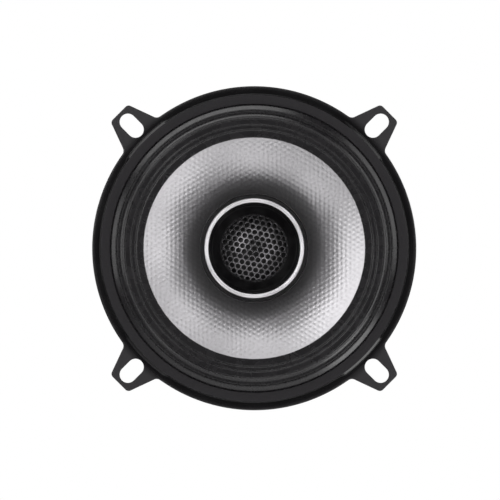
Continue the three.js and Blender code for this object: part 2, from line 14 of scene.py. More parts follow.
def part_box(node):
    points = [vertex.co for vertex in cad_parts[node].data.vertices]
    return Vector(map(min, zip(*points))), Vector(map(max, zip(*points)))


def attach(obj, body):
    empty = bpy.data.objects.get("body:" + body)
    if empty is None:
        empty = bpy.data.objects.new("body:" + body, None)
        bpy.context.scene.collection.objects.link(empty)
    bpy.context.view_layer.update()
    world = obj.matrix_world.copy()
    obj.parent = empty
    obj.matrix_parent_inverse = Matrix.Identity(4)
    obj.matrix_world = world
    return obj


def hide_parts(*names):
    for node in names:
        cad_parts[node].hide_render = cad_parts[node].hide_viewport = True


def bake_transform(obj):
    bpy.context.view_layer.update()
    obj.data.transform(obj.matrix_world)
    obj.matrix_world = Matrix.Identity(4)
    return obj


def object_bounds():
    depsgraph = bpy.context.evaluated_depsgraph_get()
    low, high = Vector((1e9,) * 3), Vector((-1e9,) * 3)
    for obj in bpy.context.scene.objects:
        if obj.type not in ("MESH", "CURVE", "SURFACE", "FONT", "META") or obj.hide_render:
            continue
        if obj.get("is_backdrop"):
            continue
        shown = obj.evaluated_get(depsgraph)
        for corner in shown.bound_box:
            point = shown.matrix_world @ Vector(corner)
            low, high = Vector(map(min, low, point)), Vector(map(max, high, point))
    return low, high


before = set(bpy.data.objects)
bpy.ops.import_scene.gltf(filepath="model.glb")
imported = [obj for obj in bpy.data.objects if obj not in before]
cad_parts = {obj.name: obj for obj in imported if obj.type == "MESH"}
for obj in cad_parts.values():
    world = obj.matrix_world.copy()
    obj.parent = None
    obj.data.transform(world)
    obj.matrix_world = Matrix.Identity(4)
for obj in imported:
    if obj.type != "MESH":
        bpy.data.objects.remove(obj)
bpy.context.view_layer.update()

MM = 0.001
FRAME, CONE, DIAPHRAGM = "frame", "cone", "tweeter_diaphragm"


# ---------------------------------------------------------------- where the CAD pieces are

def extent(node):
    """A CAD node's ranges along x, y and z, in millimetres of the speaker's own frame."""
    low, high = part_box(node)
    return (
        (low[0] / MM, high[0] / MM),
        (low[2] / MM, high[2] / MM),
        (-high[1] / MM, -low[1] / MM),
    )


def round_extent(node):
    """A turned CAD node's outer radius, and the heights of its rear and its front."""
    (_, radius), _, (rear, front) = extent(node)
    return radius, rear, front


# ---------------------------------------------------------------- shader helpers

def node(tree, kind, values=None, **settings):
    """A shader node. A value is a number, a colour or an output to link."""
    made = tree.nodes.new("ShaderNode" + kind)
    for key, value in settings.items():
        setattr(made, key, value)
    for key, value in (values or {}).items():
        if isinstance(value, bpy.types.NodeSocket):
            tree.links.new(value, made.inputs[key])
        else:
            made.inputs[key].default_value = value
    return made


def calc(tree, operation, first, second=0.0):
    return node(tree, "Math", {0: first, 1: second}, operation=operation).outputs[0]


def object_point(tree):
    return node(tree, "TexCoord").outputs["Object"]


def polar(tree):
    """Radius, angle and depth about the speaker's axis."""
    x, depth, z = node(tree, "SeparateXYZ", {0: object_point(tree)}).outputs
    squares = calc(tree, "ADD", calc(tree, "MULTIPLY", x, x), calc(tree, "MULTIPLY", z, z))
    return calc(tree, "SQRT", squares), calc(tree, "ARCTAN2", z, x), depth


def noise(tree, scale, detail=2.0, vector=None, distortion=0.0):
    values = {
        "Vector": vector or object_point(tree),
        "Scale": scale,
        "Detail": detail,
        "Distortion": distortion,
    }
    return node(tree, "TexNoise", values).outputs[0]


def cells(tree, scale):
    return node(tree, "TexVoronoi", {"Vector": object_point(tree), "Scale": scale}).outputs["Distance"]


def remap(tree, value, low, high, start=0.0, end=1.0):
    return node(tree, "MapRange", {0: value, 1: start, 2: end, 3: low, 4: high}).outputs[0]


def two_tone(tree, factor, first, second):
    values = {0: factor, 6: (*first, 1), 7: (*second, 1)}
    return node(tree, "Mix", values, data_type="RGBA").outputs[2]


def waves(tree, value, pitch):
    """A cosine ripple from 0 to 1 with that pitch in metres."""
    turned_value = calc(tree, "MULTIPLY", value, 2 * math.pi / pitch)
    return remap(tree, calc(tree, "COSINE", turned_value), 0.0, 1.0, -1.0, 1.0)


def surface(name, colour, roughness, metallic=0.0, coat=0.0, coat_roughness=0.1, sheen=0.0, specular=0.5):
    made = bpy.data.materials.new(name)
    made.use_nodes = True
    shader = made.node_tree.nodes["Principled BSDF"]
    constants = {
        "Base Color": (*colour, 1),
        "Roughness": roughness,
        "Metallic": metallic,
        "Coat Weight": coat,
        "Coat Roughness": coat_roughness,
        "Sheen Weight": sheen,
        "Specular IOR Level": specular,
    }
    for key, value in constants.items():
        shader.inputs[key].default_value = value
    return made, made.node_tree, shader


def feed(tree, shader, **outputs):
    """Link outputs to the shader's sockets: colour, roughness, or relief as (height, depth in mm)."""
    if "colour" in outputs:
        tree.links.new(outputs["colour"], shader.inputs["Base Color"])
    if "roughness" in outputs:
        tree.links.new(outputs["roughness"], shader.inputs["Roughness"])
    if "relief" in outputs:
        height, depth = outputs["relief"]
        bump = node(tree, "Bump", {"Height": height, "Distance": depth * MM, "Strength": 1.0})
        tree.links.new(bump.outputs[0], shader.inputs["Normal"])


def mottled(
    name, colour, roughness, scale, detail, distortion=0.0, tones=None, gloss=None, relief=None, **look
):
    """A material ruled by one noise.

    Tones are its dark and light colours, gloss its low and high roughness (and the stretch of the
    noise between them), and relief the depth of its bumps in millimetres.
    """
    made, tree, shader = surface(name, colour, roughness, **look)
    grain = noise(tree, scale, detail, distortion=distortion)
    outputs = {}
    if tones:
        outputs["colour"] = two_tone(tree, grain, *tones)
    if gloss:
        outputs["roughness"] = remap(tree, grain, *gloss)
    if relief:
        outputs["relief"] = (grain, relief)
    feed(tree, shader, **outputs)
    return made


# ---------------------------------------------------------------- materials

def satin_paint():
    """Black electrophoretic paint on pressed steel: a slight orange peel and duller patches, with painted
    light on the ears and painted shade on the rim.
    """
    made, tree, shader = surface("satin_paint", (0.021, 0.0195, 0.0215), 0.4)
    patches = noise(tree, 90, 4)
    peel = noise(tree, 1500, 2)
    radius, _, _ = polar(tree)
    # The ears are rougher and painted four times lighter than the rim and bowl: painted light on the flat
    # ears, painted shade on the rolled rim.
    on_ears = node(tree, "MapRange", {0: radius, 1: 0.0635, 2: 0.0665}).outputs[0]
    gloss = remap(tree, patches, 0.2, 0.26, 0.3, 0.7)
    feed(
        tree, shader,
        colour=two_tone(tree, on_ears, (0.009, 0.0083, 0.0093), (0.036, 0.0335, 0.037)),
        roughness=calc(tree, "ADD", gloss, calc(tree, "MULTIPLY", on_ears, 0.25)),
        relief=(peel, 0.006),
    )
    return made


def gasket_fibre():
    """A pressed cork-and-rubber ring: matte, with fine pits and fibres."""
    made, tree, shader = surface("gasket_fibre", (0.03, 0.03, 0.031), 0.78, specular=0.35)
    grain = noise(tree, 2600, 5)
    pits = cells(tree, 1300)
    feed(
        tree, shader,
        colour=two_tone(tree, grain, (0.02, 0.0186, 0.0205), (0.048, 0.0445, 0.049)),
        roughness=remap(tree, grain, 0.65, 0.9),
        relief=(calc(tree, "ADD", grain, pits), 0.05),
    )
    return made


def cell_foam():
    """Closed-cell foam: round bubbles cut open at the skin."""
    made, tree, shader = surface("cell_foam", (0.03, 0.03, 0.03), 0.92, sheen=0.1)
    bubbles = cells(tree, 1500)
    feed(
        tree, shader,
        colour=two_tone(tree, bubbles, (0.012, 0.012, 0.012), (0.05, 0.05, 0.052)),
        relief=(bubbles, 0.12),
    )
    return made


def moulded_rubber():
    """Butyl rubber: satin, with the faint turning marks of its mould and a bloom."""
    made, tree, shader = surface("moulded_rubber", (0.022, 0.0205, 0.0225), 0.27, specular=0.7)
    radius, _, _ = polar(tree)
    marks = waves(tree, radius, 0.00022)
    bloom = noise(tree, 260, 5, distortion=0.6)
    skin = noise(tree, 3200, 3)
    feed(
        tree, shader,
        colour=two_tone(tree, bloom, (0.017, 0.0158, 0.0175), (0.028, 0.026, 0.0288)),
        roughness=remap(tree, bloom, 0.24, 0.3, 0.3, 0.7),
        relief=(calc(tree, "ADD", calc(tree, "MULTIPLY", marks, 0.2), skin), 0.0006),
    )
    return made


def metallised_cone():
    """Silver vapour-coated polypropylene: a metallic sheen over very fine grain."""
    made, tree, shader = surface("metallised_cone", (0.6, 0.585, 0.607), 0.36, metallic=0.85)
    fibres = noise(tree, 2400, 6, distortion=1.2)
    clouds = noise(tree, 120, 3)
    feed(
        tree, shader,
        colour=two_tone(tree, clouds, (0.58, 0.566, 0.586), (0.63, 0.616, 0.637)),
        roughness=remap(tree, fibres, 0.29, 0.35, 0.3, 0.7),
        relief=(fibres, 0.002),
    )
    return made


def clear_glue():
    """A line of clear glue, coloured near-black like the cone around it: painted shade. Its sharp glint comes
    from its clear coat.
    """
    return mottled(
        "clear_glue", (0.03, 0.028, 0.031), 0.3, 500, 2, gloss=(0.25, 0.4), relief=0.008,
        coat=1.0, coat_roughness=0.04,
    )


def cured_adhesive():
    return mottled(
        "cured_adhesive", (0.012, 0.012, 0.012), 0.16, 420, 2, gloss=(0.1, 0.28), relief=0.06, coat=0.6,
    )


def woven(tree, pitch):
    """Two sets of straight threads crossing: 1 where both are high."""
    x, _, z = node(tree, "SeparateXYZ", {0: object_point(tree)}).outputs
    return calc(tree, "MULTIPLY", waves(tree, x, pitch), waves(tree, z, pitch))


def resin_cloth():
    """Resin-dipped cotton: a plain weave under brown stains."""
    made, tree, shader = surface("resin_cloth", (0.42, 0.25, 0.09), 0.8, sheen=0.25)
    weave = woven(tree, 0.00055)
    stain = remap(tree, noise(tree, 110, 4), 0.0, 0.5)
    threads = two_tone(tree, weave, (0.2, 0.105, 0.03), (0.5, 0.32, 0.13))
    stained = node(tree, "Mix", {0: stain, 6: threads, 7: (0.3, 0.16, 0.05, 1)}, data_type="RGBA")
    feed(tree, shader, colour=stained.outputs[2], relief=(weave, 0.09))
    return made


def kapton_film():
    made, tree, shader = surface("kapton_film", (0.3, 0.12, 0.02), 0.3, coat=0.4)
    _, _, depth = polar(tree)
    lap = waves(tree, depth, 0.0016)
    feed(
        tree, shader,
        colour=two_tone(tree, lap, (0.2, 0.075, 0.012), (0.36, 0.16, 0.03)),
        relief=(noise(tree, 900, 2), 0.015),
    )
    return made


def enamelled_copper():
    return mottled(
        "enamelled_copper", (0.65, 0.24, 0.09), 0.26, 300, 4,
        tones=((0.42, 0.13, 0.05), (0.72, 0.3, 0.12)), gloss=(0.2, 0.36), metallic=1.0, coat=0.4,
    )


def zinc_plate():
    """Zinc-plated mild steel: fine turning rings under a slightly cloudy plating."""
    made, tree, shader = surface("zinc_plate", (0.55, 0.56, 0.58), 0.34, metallic=1.0)
    radius, _, _ = polar(tree)
    across = node(tree, "CombineXYZ", {0: calc(tree, "MULTIPLY", radius, 5200.0)}).outputs[0]
    rings = noise(tree, 1.0, 4, vector=across)
    crystals = noise(tree, 1100, 5)
    feed(
        tree, shader,
        colour=two_tone(tree, crystals, (0.5, 0.505, 0.52), (0.61, 0.615, 0.625)),
        roughness=remap(tree, crystals, 0.33, 0.42, 0.3, 0.7),
        relief=(calc(tree, "ADD", rings, crystals), 0.004),
    )
    return made


def sintered_ferrite():
    """Strontium ferrite: near-black ceramic with specks and small chips."""
    made, tree, shader = surface("sintered_ferrite", (0.03, 0.029, 0.029), 0.62, specular=0.4)
    specks = noise(tree, 3000, 4)
    chips = remap(tree, cells(tree, 260), 1.0, 0.0, 0.0, 0.22)
    feed(
        tree, shader,
        colour=two_tone(tree, specks, (0.018, 0.018, 0.018), (0.055, 0.053, 0.052)),
        roughness=remap(tree, specks, 0.5, 0.75),
        relief=(calc(tree, "SUBTRACT", specks, calc(tree, "MULTIPLY", chips, 1.4)), 0.05),
    )
    return made


def gloss_plastic():
    made, tree, shader = surface("gloss_plastic", (0.004, 0.0036, 0.0042), 0.18, specular=0.35)
    haze = remap(tree, noise(tree, 220, 4), 0.15, 0.27, 0.3, 0.7)
    feed(tree, shader, roughness=haze, relief=(noise(tree, 1300, 2), 0.006))
    return made


def grained_plastic():
    return mottled("grained_plastic", (0.014, 0.014, 0.015), 0.55, 1900, 3, gloss=(0.45, 0.65), relief=0.03)


def brushed_ring():
    """Spun aluminium: long fine scratches that run round the ring."""
    made, tree, shader = surface("brushed_ring", (0.93, 0.91, 0.935), 0.4, metallic=0.7)
    radius, angle, _ = polar(tree)
    along = node(tree, "CombineXYZ", {
        0: calc(tree, "MULTIPLY", radius, 9000.0),
        1: calc(tree, "MULTIPLY", angle, 2.2),
    }).outputs[0]
    scratches = noise(tree, 1.0, 5, vector=along)
    feed(
        tree, shader,
        colour=two_tone(tree, scratches, (0.9, 0.88, 0.905), (0.99, 0.97, 0.995)),
        roughness=remap(tree, scratches, 0.27, 0.38, 0.3, 0.7),
        relief=(scratches, 0.008),
    )
    return made


def grille_metal():
    return mottled(
        "grille_metal", (0.2, 0.2, 0.21), 0.22, 1700, 4,
        tones=((0.16, 0.154, 0.163), (0.27, 0.26, 0.274)), gloss=(0.18, 0.27, 0.3, 0.7), relief=0.004,
        metallic=0.9,
    )


def coated_silk():
    made, tree, shader = surface("coated_silk", (0.006, 0.0055, 0.006), 0.3, specular=0.4)
    weave = woven(tree, 0.00032)
    feed(
        tree, shader,
        colour=two_tone(tree, weave, (0.004, 0.0037, 0.004), (0.01, 0.0092, 0.0103)),
        relief=(weave, 0.03),
    )
    return made


def nickel_plate():
    return mottled(
        "nickel_plate", (0.62, 0.6, 0.56), 0.2, 350, 4, gloss=(0.14, 0.3), relief=0.008, metallic=1.0,
    )


def phenolic_laminate():
    """Paper-and-phenol board: warm brown with flecks and faint paper layers."""
    made, tree, shader = surface("phenolic_laminate", (0.16, 0.075, 0.026), 0.5, coat=0.1)
    _, _, depth = polar(tree)
    layers = waves(tree, depth, 0.0002)
    flecks = noise(tree, 1400, 6, distortion=2.0)
    feed(
        tree, shader,
        colour=two_tone(tree, flecks, (0.095, 0.04, 0.014), (0.24, 0.125, 0.05)),
        roughness=remap(tree, flecks, 0.4, 0.62),
        relief=(calc(tree, "ADD", layers, flecks), 0.012),
    )
    return made


def tin_plate():
    return mottled(
        "tin_plate", (0.7, 0.68, 0.63), 0.3, 500, 4, 0.8,
        tones=((0.6, 0.57, 0.51), (0.78, 0.77, 0.74)), gloss=(0.2, 0.42), relief=0.02, metallic=1.0,
    )


def shrink_sleeve():
    return mottled(
        "shrink_sleeve", (0.012, 0.025, 0.06), 0.28, 330, 3, 1.5,
        tones=((0.009, 0.018, 0.045), (0.018, 0.036, 0.08)), gloss=(0.22, 0.4), relief=0.05, coat=0.3,
    )


def wire_insulation(name, dark, light):
    made, tree, shader = surface(name, light, 0.42)
    scuffs = noise(tree, 700, 4)
    feed(
        tree, shader,
        colour=two_tone(tree, scuffs, dark, light),
        roughness=remap(tree, scuffs, 0.34, 0.55),
        relief=(noise(tree, 2500, 2), 0.012),
    )
    return made


def tinsel_copper():
    return mottled(
        "tinsel_copper", (0.6, 0.36, 0.2), 0.38, 2600, 3,
        tones=((0.36, 0.2, 0.1), (0.72, 0.48, 0.3)), gloss=(0.3, 0.5), relief=0.04, metallic=0.9,
    )


PAINT = satin_paint()
GASKET = gasket_fibre()
FOAM = cell_foam()
RUBBER = moulded_rubber()
SILVER = metallised_cone()
ADHESIVE = cured_adhesive()
CLEAR_GLUE = clear_glue()
CLOTH = resin_cloth()
KAPTON = kapton_film()
COPPER = enamelled_copper()
ZINC = zinc_plate()
FERRITE = sintered_ferrite()
GLOSS = gloss_plastic()
GRAINED = grained_plastic()
BRUSHED = brushed_ring()
GRILLE = grille_metal()
SILK = coated_silk()
NICKEL = nickel_plate()
PHENOLIC = phenolic_laminate()
TIN = tin_plate()
SLEEVE = shrink_sleeve()
RED_WIRE = wire_insulation("red_insulation", (0.2, 0.01, 0.008), (0.36, 0.02, 0.015))
BLACK_WIRE = wire_insulation("black_insulation", (0.009, 0.009, 0.009), (0.024, 0.024, 0.024))
TINSEL = tinsel_copper()


# ---------------------------------------------------------------- shape helpers

def build(name, points, faces, material, sharp=35):
    """A shaded mesh object from points in the speaker's own frame."""
    points = np.asarray(points, float) * MM
    placed = np.column_stack([points[:, 0], -points[:, 2], points[:, 1]])
    mesh = bpy.data.meshes.new(name)
    mesh.from_pydata(placed.tolist(), [], faces)
    cleaned = bmesh.new()
    cleaned.from_mesh(mesh)
    bmesh.ops.remove_doubles(cleaned, verts=cleaned.verts, dist=1e-7)
    bmesh.ops.dissolve_degenerate(cleaned, edges=cleaned.edges, dist=1e-8)
    bmesh.ops.recalc_face_normals(cleaned, faces=cleaned.faces)
    cleaned.to_mesh(mesh)
    cleaned.free()
    mesh.materials.append(material)
    return shade(linked(name, mesh), sharp)


def linked(name, data):
    """A new object in the scene."""
    obj = bpy.data.objects.new(name, data)
    bpy.context.collection.objects.link(obj)
    return obj


def shade(obj, sharp=35):
    obj.data.shade_smooth()
    obj.data.set_sharp_from_angle(angle=math.radians(sharp))
    return obj


def grid_faces(columns, rows):
    """Quads over a grid that closes both ways."""
    faces = []
    for i in range(columns):
        beside = (i + 1) % columns
        for j in range(rows):
            above = (j + 1) % rows
            faces.append((i * rows + j, beside * rows + j, beside * rows + above, i * rows + above))
    return faces


def side_faces(loops, count):
    """Quads between loops of points that follow one another, each loop closed."""
    faces = []
    for start in range(0, (loops - 1) * count, count):
        for j in range(count):
            beside = (j + 1) % count
            faces.append((start + j, start + beside, start + count + beside, start + count + j))
    return faces


def capped_faces(loops, count):
    """The same with the first and the last loop filled in."""
    last = (loops - 1) * count
    return [tuple(range(count)), tuple(reversed(range(last, last + count)))] + side_faces(loops, count)


def around(sides):
    return np.arange(sides) * 2 * math.pi / sides


def turned(name, outline, material, sides=192, sharp=35):
    """A solid turned about the axis from a closed outline of (radius, z)."""
    outline = np.asarray(outline, float)
    angles = around(sides)[:, None]
    x = np.cos(angles) * outline[:, 0]
    y = np.sin(angles) * outline[:, 0]
    z = np.broadcast_to(outline[:, 1], x.shape)
    points = np.stack([x, y, z], axis=-1).reshape(-1, 3)
    return build(name, points, grid_faces(sides, len(outline)), material, sharp)


def band(inner, outer, rear, front):
    """The outline of a plain ring, or of a disc where inner is 0."""
    return [(inner, rear), (outer, rear), (outer, front), (inner, front)]


def bend(corner, towards, away, radius, steps):
    """Points round a corner, between places on the lines to its neighbours."""
    lengths = [np.linalg.norm(way) for way in (towards, away)]
    start, end = (
        corner + way / length * min(radius, 0.45 * length)
        for way, length in zip((towards, away), lengths)
    )
    shares = np.arange(steps + 1)[:, None] / steps
    return (1 - shares) ** 2 * start + 2 * shares * (1 - shares) * corner + shares**2 * end


def rounded(corners, radius, steps=3):
    """A closed outline with each corner eased; corners on the axis stay sharp."""
    corners = [np.array(c, float) for c in corners]
    outline = []
    for i, corner in enumerate(corners):
        if corner[0] < 1e-6:
            outline.append(corner)
        else:
            following = corners[(i + 1) % len(corners)]
            outline.extend(bend(corner, corners[i - 1] - corner, following - corner, radius, steps))
    return outline


def eased(corners, radii, steps=5):
    """An open line of (radius, z) with a fillet at each inner corner."""
    corners = [np.array(c, float) for c in corners]
    line = [corners[0]]
    for before, corner, after, radius in zip(corners, corners[1:], corners[2:], radii):
        line.extend(bend(corner, before - corner, after - corner, radius, steps))
    return np.array(line + [corners[-1]])


def behind(line, thickness):
    """The rear face of a sheet whose front face is the line, which runs outwards."""
    line = np.asarray(line, float)
    along = directions(line)
    return line + np.column_stack([along[:, 1], -along[:, 0]]) * thickness


def sheet(line, thickness):
    return np.concatenate([line, behind(line, thickness)[::-1]])


def spun(x, y, angle):
    """The same place turned about the axis."""
    return x * math.cos(angle) - y * math.sin(angle), x * math.sin(angle) + y * math.cos(angle)


def smoothstep(value, start, end):
    t = np.clip((value - start) / (end - start), 0, 1)
    return t * t * (3 - 2 * t)


def curve_through(points, steps):
    """A smooth line through the points, steps to each span."""
    points = np.asarray(points, float)
    padded = np.vstack([2 * points[0] - points[1], points, 2 * points[-1] - points[-2]])
    line = []
    for p0, p1, p2, p3 in zip(padded, padded[1:], padded[2:], padded[3:]):
        for k in range(steps):
            t = k / steps
            line.append(0.5 * (
                2 * p1 + (p2 - p0) * t
                + (2 * p0 - 5 * p1 + 4 * p2 - p3) * t**2
                + (3 * p1 - p0 - 3 * p2 + p3) * t**3
            ))
    return np.array(line + [points[-1]])


def directions(path):
    along = np.gradient(path, axis=0)
    return along / np.linalg.norm(along, axis=1)[:, None]


def carried(along, hint):
    """Two directions across a path at each of its points, carried along it without twisting."""
    across = np.cross(along[0], hint)
    for direction in along:
        across = across - direction * np.dot(across, direction)
        across /= np.linalg.norm(across)
        yield across, np.cross(direction, across)


def tube_along(path, radius, sides=16):
    """Points and faces of a round tube with domed ends, with no twist along the path."""
    path = np.asarray(path, float)
    along = directions(path)
    angles = around(sides)[:, None]
    circles = [
        (np.cos(angles) * across + np.sin(angles) * up) * radius
        for across, up in carried(along, [0.3, 0.5, 0.81])
    ]
    # Each cap is two smaller rings: how far beyond the end, and how wide.
    caps = [(0.5, 0.35), (0.35, 0.75)]
    rings = [path[0] - along[0] * push * radius + circles[0] * share for push, share in caps]
    rings += [centre + circle for centre, circle in zip(path, circles)]
    rings += [path[-1] + along[-1] * push * radius + circles[-1] * share for push, share in caps[::-1]]
    return np.concatenate(rings), capped_faces(len(rings), sides)


def gathered(parts):
    """Several (points, faces) as one."""
    points, faces, start = [], [], 0
    for some_points, some_faces in parts:
        points.append(some_points)
        faces += [tuple(start + v for v in face) for face in some_faces]
        start += len(some_points)
    return np.concatenate(points), faces


def plate(name, outline, low, high, material, edge=0.15, upright=False):
    """A flat piece with softened edges: an outline in x and y between two z, or upright in x and z."""
    points = [(a, height, b) if upright else (a, b, height) for height in (low, high) for a, b in outline]
    obj = build(name, points, capped_faces(2, len(outline)), material)
    bevel = obj.modifiers.new("edge", "BEVEL")
    bevel.width = edge * MM
    bevel.segments = 2
    bevel.limit_method = "ANGLE"
    bevel.angle_limit = math.radians(50)
    return settled(obj)


def rounded_box(x_range, y_range, radius, steps=5):
    """A rounded rectangle, as an outline of (x, y)."""
    (x0, x1), (y0, y1) = x_range, y_range
    right, left, top, bottom = x1 - radius, x0 + radius, y1 - radius, y0 + radius
    corners = [(right, top), (left, top), (left, bottom), (right, bottom)]
    outline = []
    for quarter, (x, y) in enumerate(corners):
        for k in range(steps + 1):
            angle = (quarter + k / steps) * math.pi / 2
            outline.append((x + radius * math.cos(angle), y + radius * math.sin(angle)))
    return outline


def settled(obj, sharp=35):
    """Apply the object's modifiers to its mesh."""
    graph = bpy.context.evaluated_depsgraph_get()
    final = bpy.data.meshes.new_from_object(obj.evaluated_get(graph))
    obj.modifiers.clear()
    old, obj.data = obj.data, final
    bpy.data.meshes.remove(old)
    return shade(obj, sharp)


def carved(obj, cutter, operation="DIFFERENCE"):
    """Cut, join or intersect with another object, which is used up."""
    boolean = obj.modifiers.new("carve", "BOOLEAN")
    boolean.operation = operation
    boolean.solver = "EXACT"
    boolean.object = cutter
    settled(obj)
    bpy.data.objects.remove(cutter)
    return obj


def merged(name, parts):
    """Several objects of one material as one object."""
    combined = bmesh.new()
    for part in parts:
        combined.from_mesh(part.data)
    mesh = bpy.data.meshes.new(name)
    combined.to_mesh(mesh)
    combined.free()
    mesh.materials.append(parts[0].data.materials[0])
    obj = linked(name, mesh)
    for part in parts:
        bpy.data.objects.remove(part)
    return shade(obj)


def extra(obj, body=FRAME):
    """A piece with no CAD node of its own."""
    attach(obj, body)


def stands_for(obj, node_name, slot, body=FRAME):
    """Put the piece in a CAD node's place, on the body that carries it."""
    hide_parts(node_name)
    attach(obj, body)
    return obj


def bends_with_radius(obj, node_name, moving, inner, outer):
    """A ring in a CAD node's place, baked into the row's frame and attached to no body. The moving body is
    not used, and the weights that fall off between two radii are worked out but never used.
    """
    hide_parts(node_name)
    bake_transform(obj)
    places = np.array([v.co for v in obj.data.vertices])
    radii = np.hypot(places[:, 0], places[:, 2]) / MM
    weights = 1 - smoothstep(radii, inner, outer)
    return obj


# ---------------------------------------------------------------- frame

EAR_TIP_R = 76.6
EAR_TIP_HALF = 4.86
EAR_TAPER = 0.3625
EAR_CORNER = 1.8
EAR_FILLET = 2.5
EAR_TOP = 1.2
STEP_FOOT = 62.45
STEP_PULL = 0.7
FLANGE_TOP = 2.2
SLOT_R = 69.5
SLOT_HALF_WIDTH = 3.3
SLOT_HALF_LENGTH = 5.5
SHEET = 1.0


def arc(centre, radius, start, end, steps):
    angles = np.linspace(start, end, steps)
    return np.column_stack([centre[0] + radius * np.cos(angles), centre[1] + radius * np.sin(angles)])


def half_ear_outline(rim):
    """From the middle of an ear's tip round to the rim, halfway to the next ear; the ear points along +x."""
    slant = math.hypot(1, EAR_TAPER)
    normal = np.array([EAR_TAPER, 1]) / slant
    offset = normal @ [EAR_TIP_R, EAR_TIP_HALF]
    away = rim + EAR_FILLET
    reach = math.sqrt(away**2 - (offset + EAR_FILLET) ** 2)
    fillet = normal * (offset + EAR_FILLET) + np.array([normal[1], -normal[0]]) * reach
    corner_x = EAR_TIP_R - EAR_CORNER
    corner = np.array([corner_x, (offset - EAR_CORNER - normal[0] * corner_x) / normal[1]])
    lean = math.atan2(normal[1], normal[0])
    inward = math.atan2(-fillet[1], -fillet[0])
    foot = math.atan2(fillet[1], fillet[0])
    tip = np.column_stack([np.full(7, EAR_TIP_R), np.linspace(0, corner[1], 7)])
    side = np.linspace(corner + normal * EAR_CORNER, fillet - normal * EAR_FILLET, 18)
    return np.concatenate([
        tip,
        arc(corner, EAR_CORNER, 0, lean, 8)[1:],
        side[1:],
        arc(fillet, EAR_FILLET, lean - math.pi, inward, 12)[1:],
        arc((0, 0), rim, foot, math.pi / 4, 36)[1:],
    ])


def frame_outline(rim):
    """The whole edge of the frame, anticlockwise."""
    half = half_ear_outline(rim)
    mirror = half[::-1] * [1, -1]
    ear = np.concatenate([mirror[:-1], half[:-1]])
    turns = []
    for quarter in range(4):
        turns.append(np.column_stack(spun(ear[:, 0], ear[:, 1], math.pi / 4 + quarter * math.pi / 2)))
    return np.concatenate(turns)


def bowl_line():
    """The front face of the pressing, from the hole in its floor out to the foot of the step."""
    _, floor, _ = round_extent("basket")
    seat = floor + 0.85
    ledge = -20.0
    corners = [
        (16.2, seat), (32.1, seat), (34.9, ledge), (42.4, ledge), (54.7, -4.0), (57.3, FLANGE_TOP),
        (61.35, FLANGE_TOP), (STEP_FOOT, EAR_TOP), (STEP_FOOT + 0.45, EAR_TOP),
    ]
    return eased(corners, [1.4, 1.3, 1.6, 3.0, 1.6, 0.2, 0.5])


def rim_rows(rim, edge, out, inward):
    """The rim from the foot of the step out to its edge, and back in behind it."""
    # The edge is rolled back between the ears and only eased on them.
    on_ear = smoothstep(np.linalg.norm(edge, axis=1), rim + 0.05, rim + 2.4)
    roll_width = 0.55 * (1 - on_ear) + 0.3 * on_ear
    roll_drop = 0.55 * (1 - on_ear) + 0.22 * on_ear
    rows = []
    foot = out * (STEP_FOOT + 0.45)
    crown = edge + inward * roll_width[:, None]
    for share in (0.25, 0.5, 0.75):
        flat = foot + (crown - foot) * share
        rows.append(np.column_stack([flat, np.full(len(edge), EAR_TOP)]))
    for share in np.linspace(0, 1, 8):
        turn = share * math.pi / 2
        flat = edge + inward * (roll_width * (1 - math.sin(turn)))[:, None]
        rows.append(np.column_stack([flat, EAR_TOP - roll_drop * (1 - math.cos(turn))]))
    for inset, height in ((0.0, 0.12), (0.04, 0.04), (0.15, 0.0), (0.7, 0.0)):
        rows.append(np.column_stack([edge + inward * inset, np.full(len(edge), height)]))
    rear_foot = out * 62.1
    rows.append(np.column_stack([rear_foot + (edge - rear_foot) * 0.3, np.zeros(len(edge))]))
    return np.stack(rows, axis=1)


def pressed_basket():
    rim, _, _ = round_extent("basket")
    edge = frame_outline(rim)
    following, leading = np.roll(edge, -1, axis=0), np.roll(edge, 1, axis=0)
    along = following - leading
    along /= np.linalg.norm(along, axis=1)[:, None]
    inward = np.column_stack([-along[:, 1], along[:, 0]])
    angles = np.arctan2(edge[:, 1], edge[:, 0])
    out = np.column_stack([np.cos(angles), np.sin(angles)])

    # Ribs pressed into the four legs, standing proud of the wall's outside.
    line = bowl_line()
    back = behind(line, SHEET)[::-1]
    off_diagonal = np.abs((angles % (math.pi / 2)) - math.pi / 4)
    rib = 1 - smoothstep(off_diagonal, math.radians(4.5), math.radians(8))

    def rib_push(part):
        lengthways = smoothstep(part[:, 1], -19, -16.5) * (1 - smoothstep(part[:, 1], -7, -4.5))
        return rib[:, None] * lengthways * 1.1

    # The step down to the rim is sloped across each ear and almost upright between the ears.
    upright = smoothstep(off_diagonal, math.radians(9), math.radians(12))

    def step_pull(part):
        down = np.clip((FLANGE_TOP - part[:, 1]) / (FLANGE_TOP - EAR_TOP), 0, 1) * (part[:, 0] > 61)
        return upright[:, None] * down * STEP_PULL

    def lathe_part(part):
        push = rib_push(part)
        radii = part[:, 0] + push * 0.8 - step_pull(part)
        heights = part[:, 1] - push * 0.6
        flat = out[:, None, :] * radii[:, :, None]
        return np.dstack([flat, heights])

    rim_part = rim_rows(rim, edge, out, inward)
    loops = np.concatenate([lathe_part(line), rim_part, lathe_part(back)], axis=1)
    columns, count = loops.shape[:2]
    basket = build("basket_pressing", loops.reshape(-1, 3), grid_faces(columns, count), PAINT)
    carved(basket, terminal_tab(), "UNION")
    for quarter in range(4):
        carved(basket, window_cutter(quarter * math.pi / 2))
        carved(basket, slot_cutter(math.pi / 4 + quarter * math.pi / 2))
    stands_for(basket, "basket", "black_steel")


def terminal_tab():
    outline = rounded_box((-16, 16), (39, 46.5), 1.6)
    return plate("tab", outline, -20.95, -20.03, PAINT, edge=0.12)


WINDOW_HALF_ANGLE = math.radians(27)
WINDOW_Z = (-19.9, -4.6)
WINDOW_CORNER = 3.2


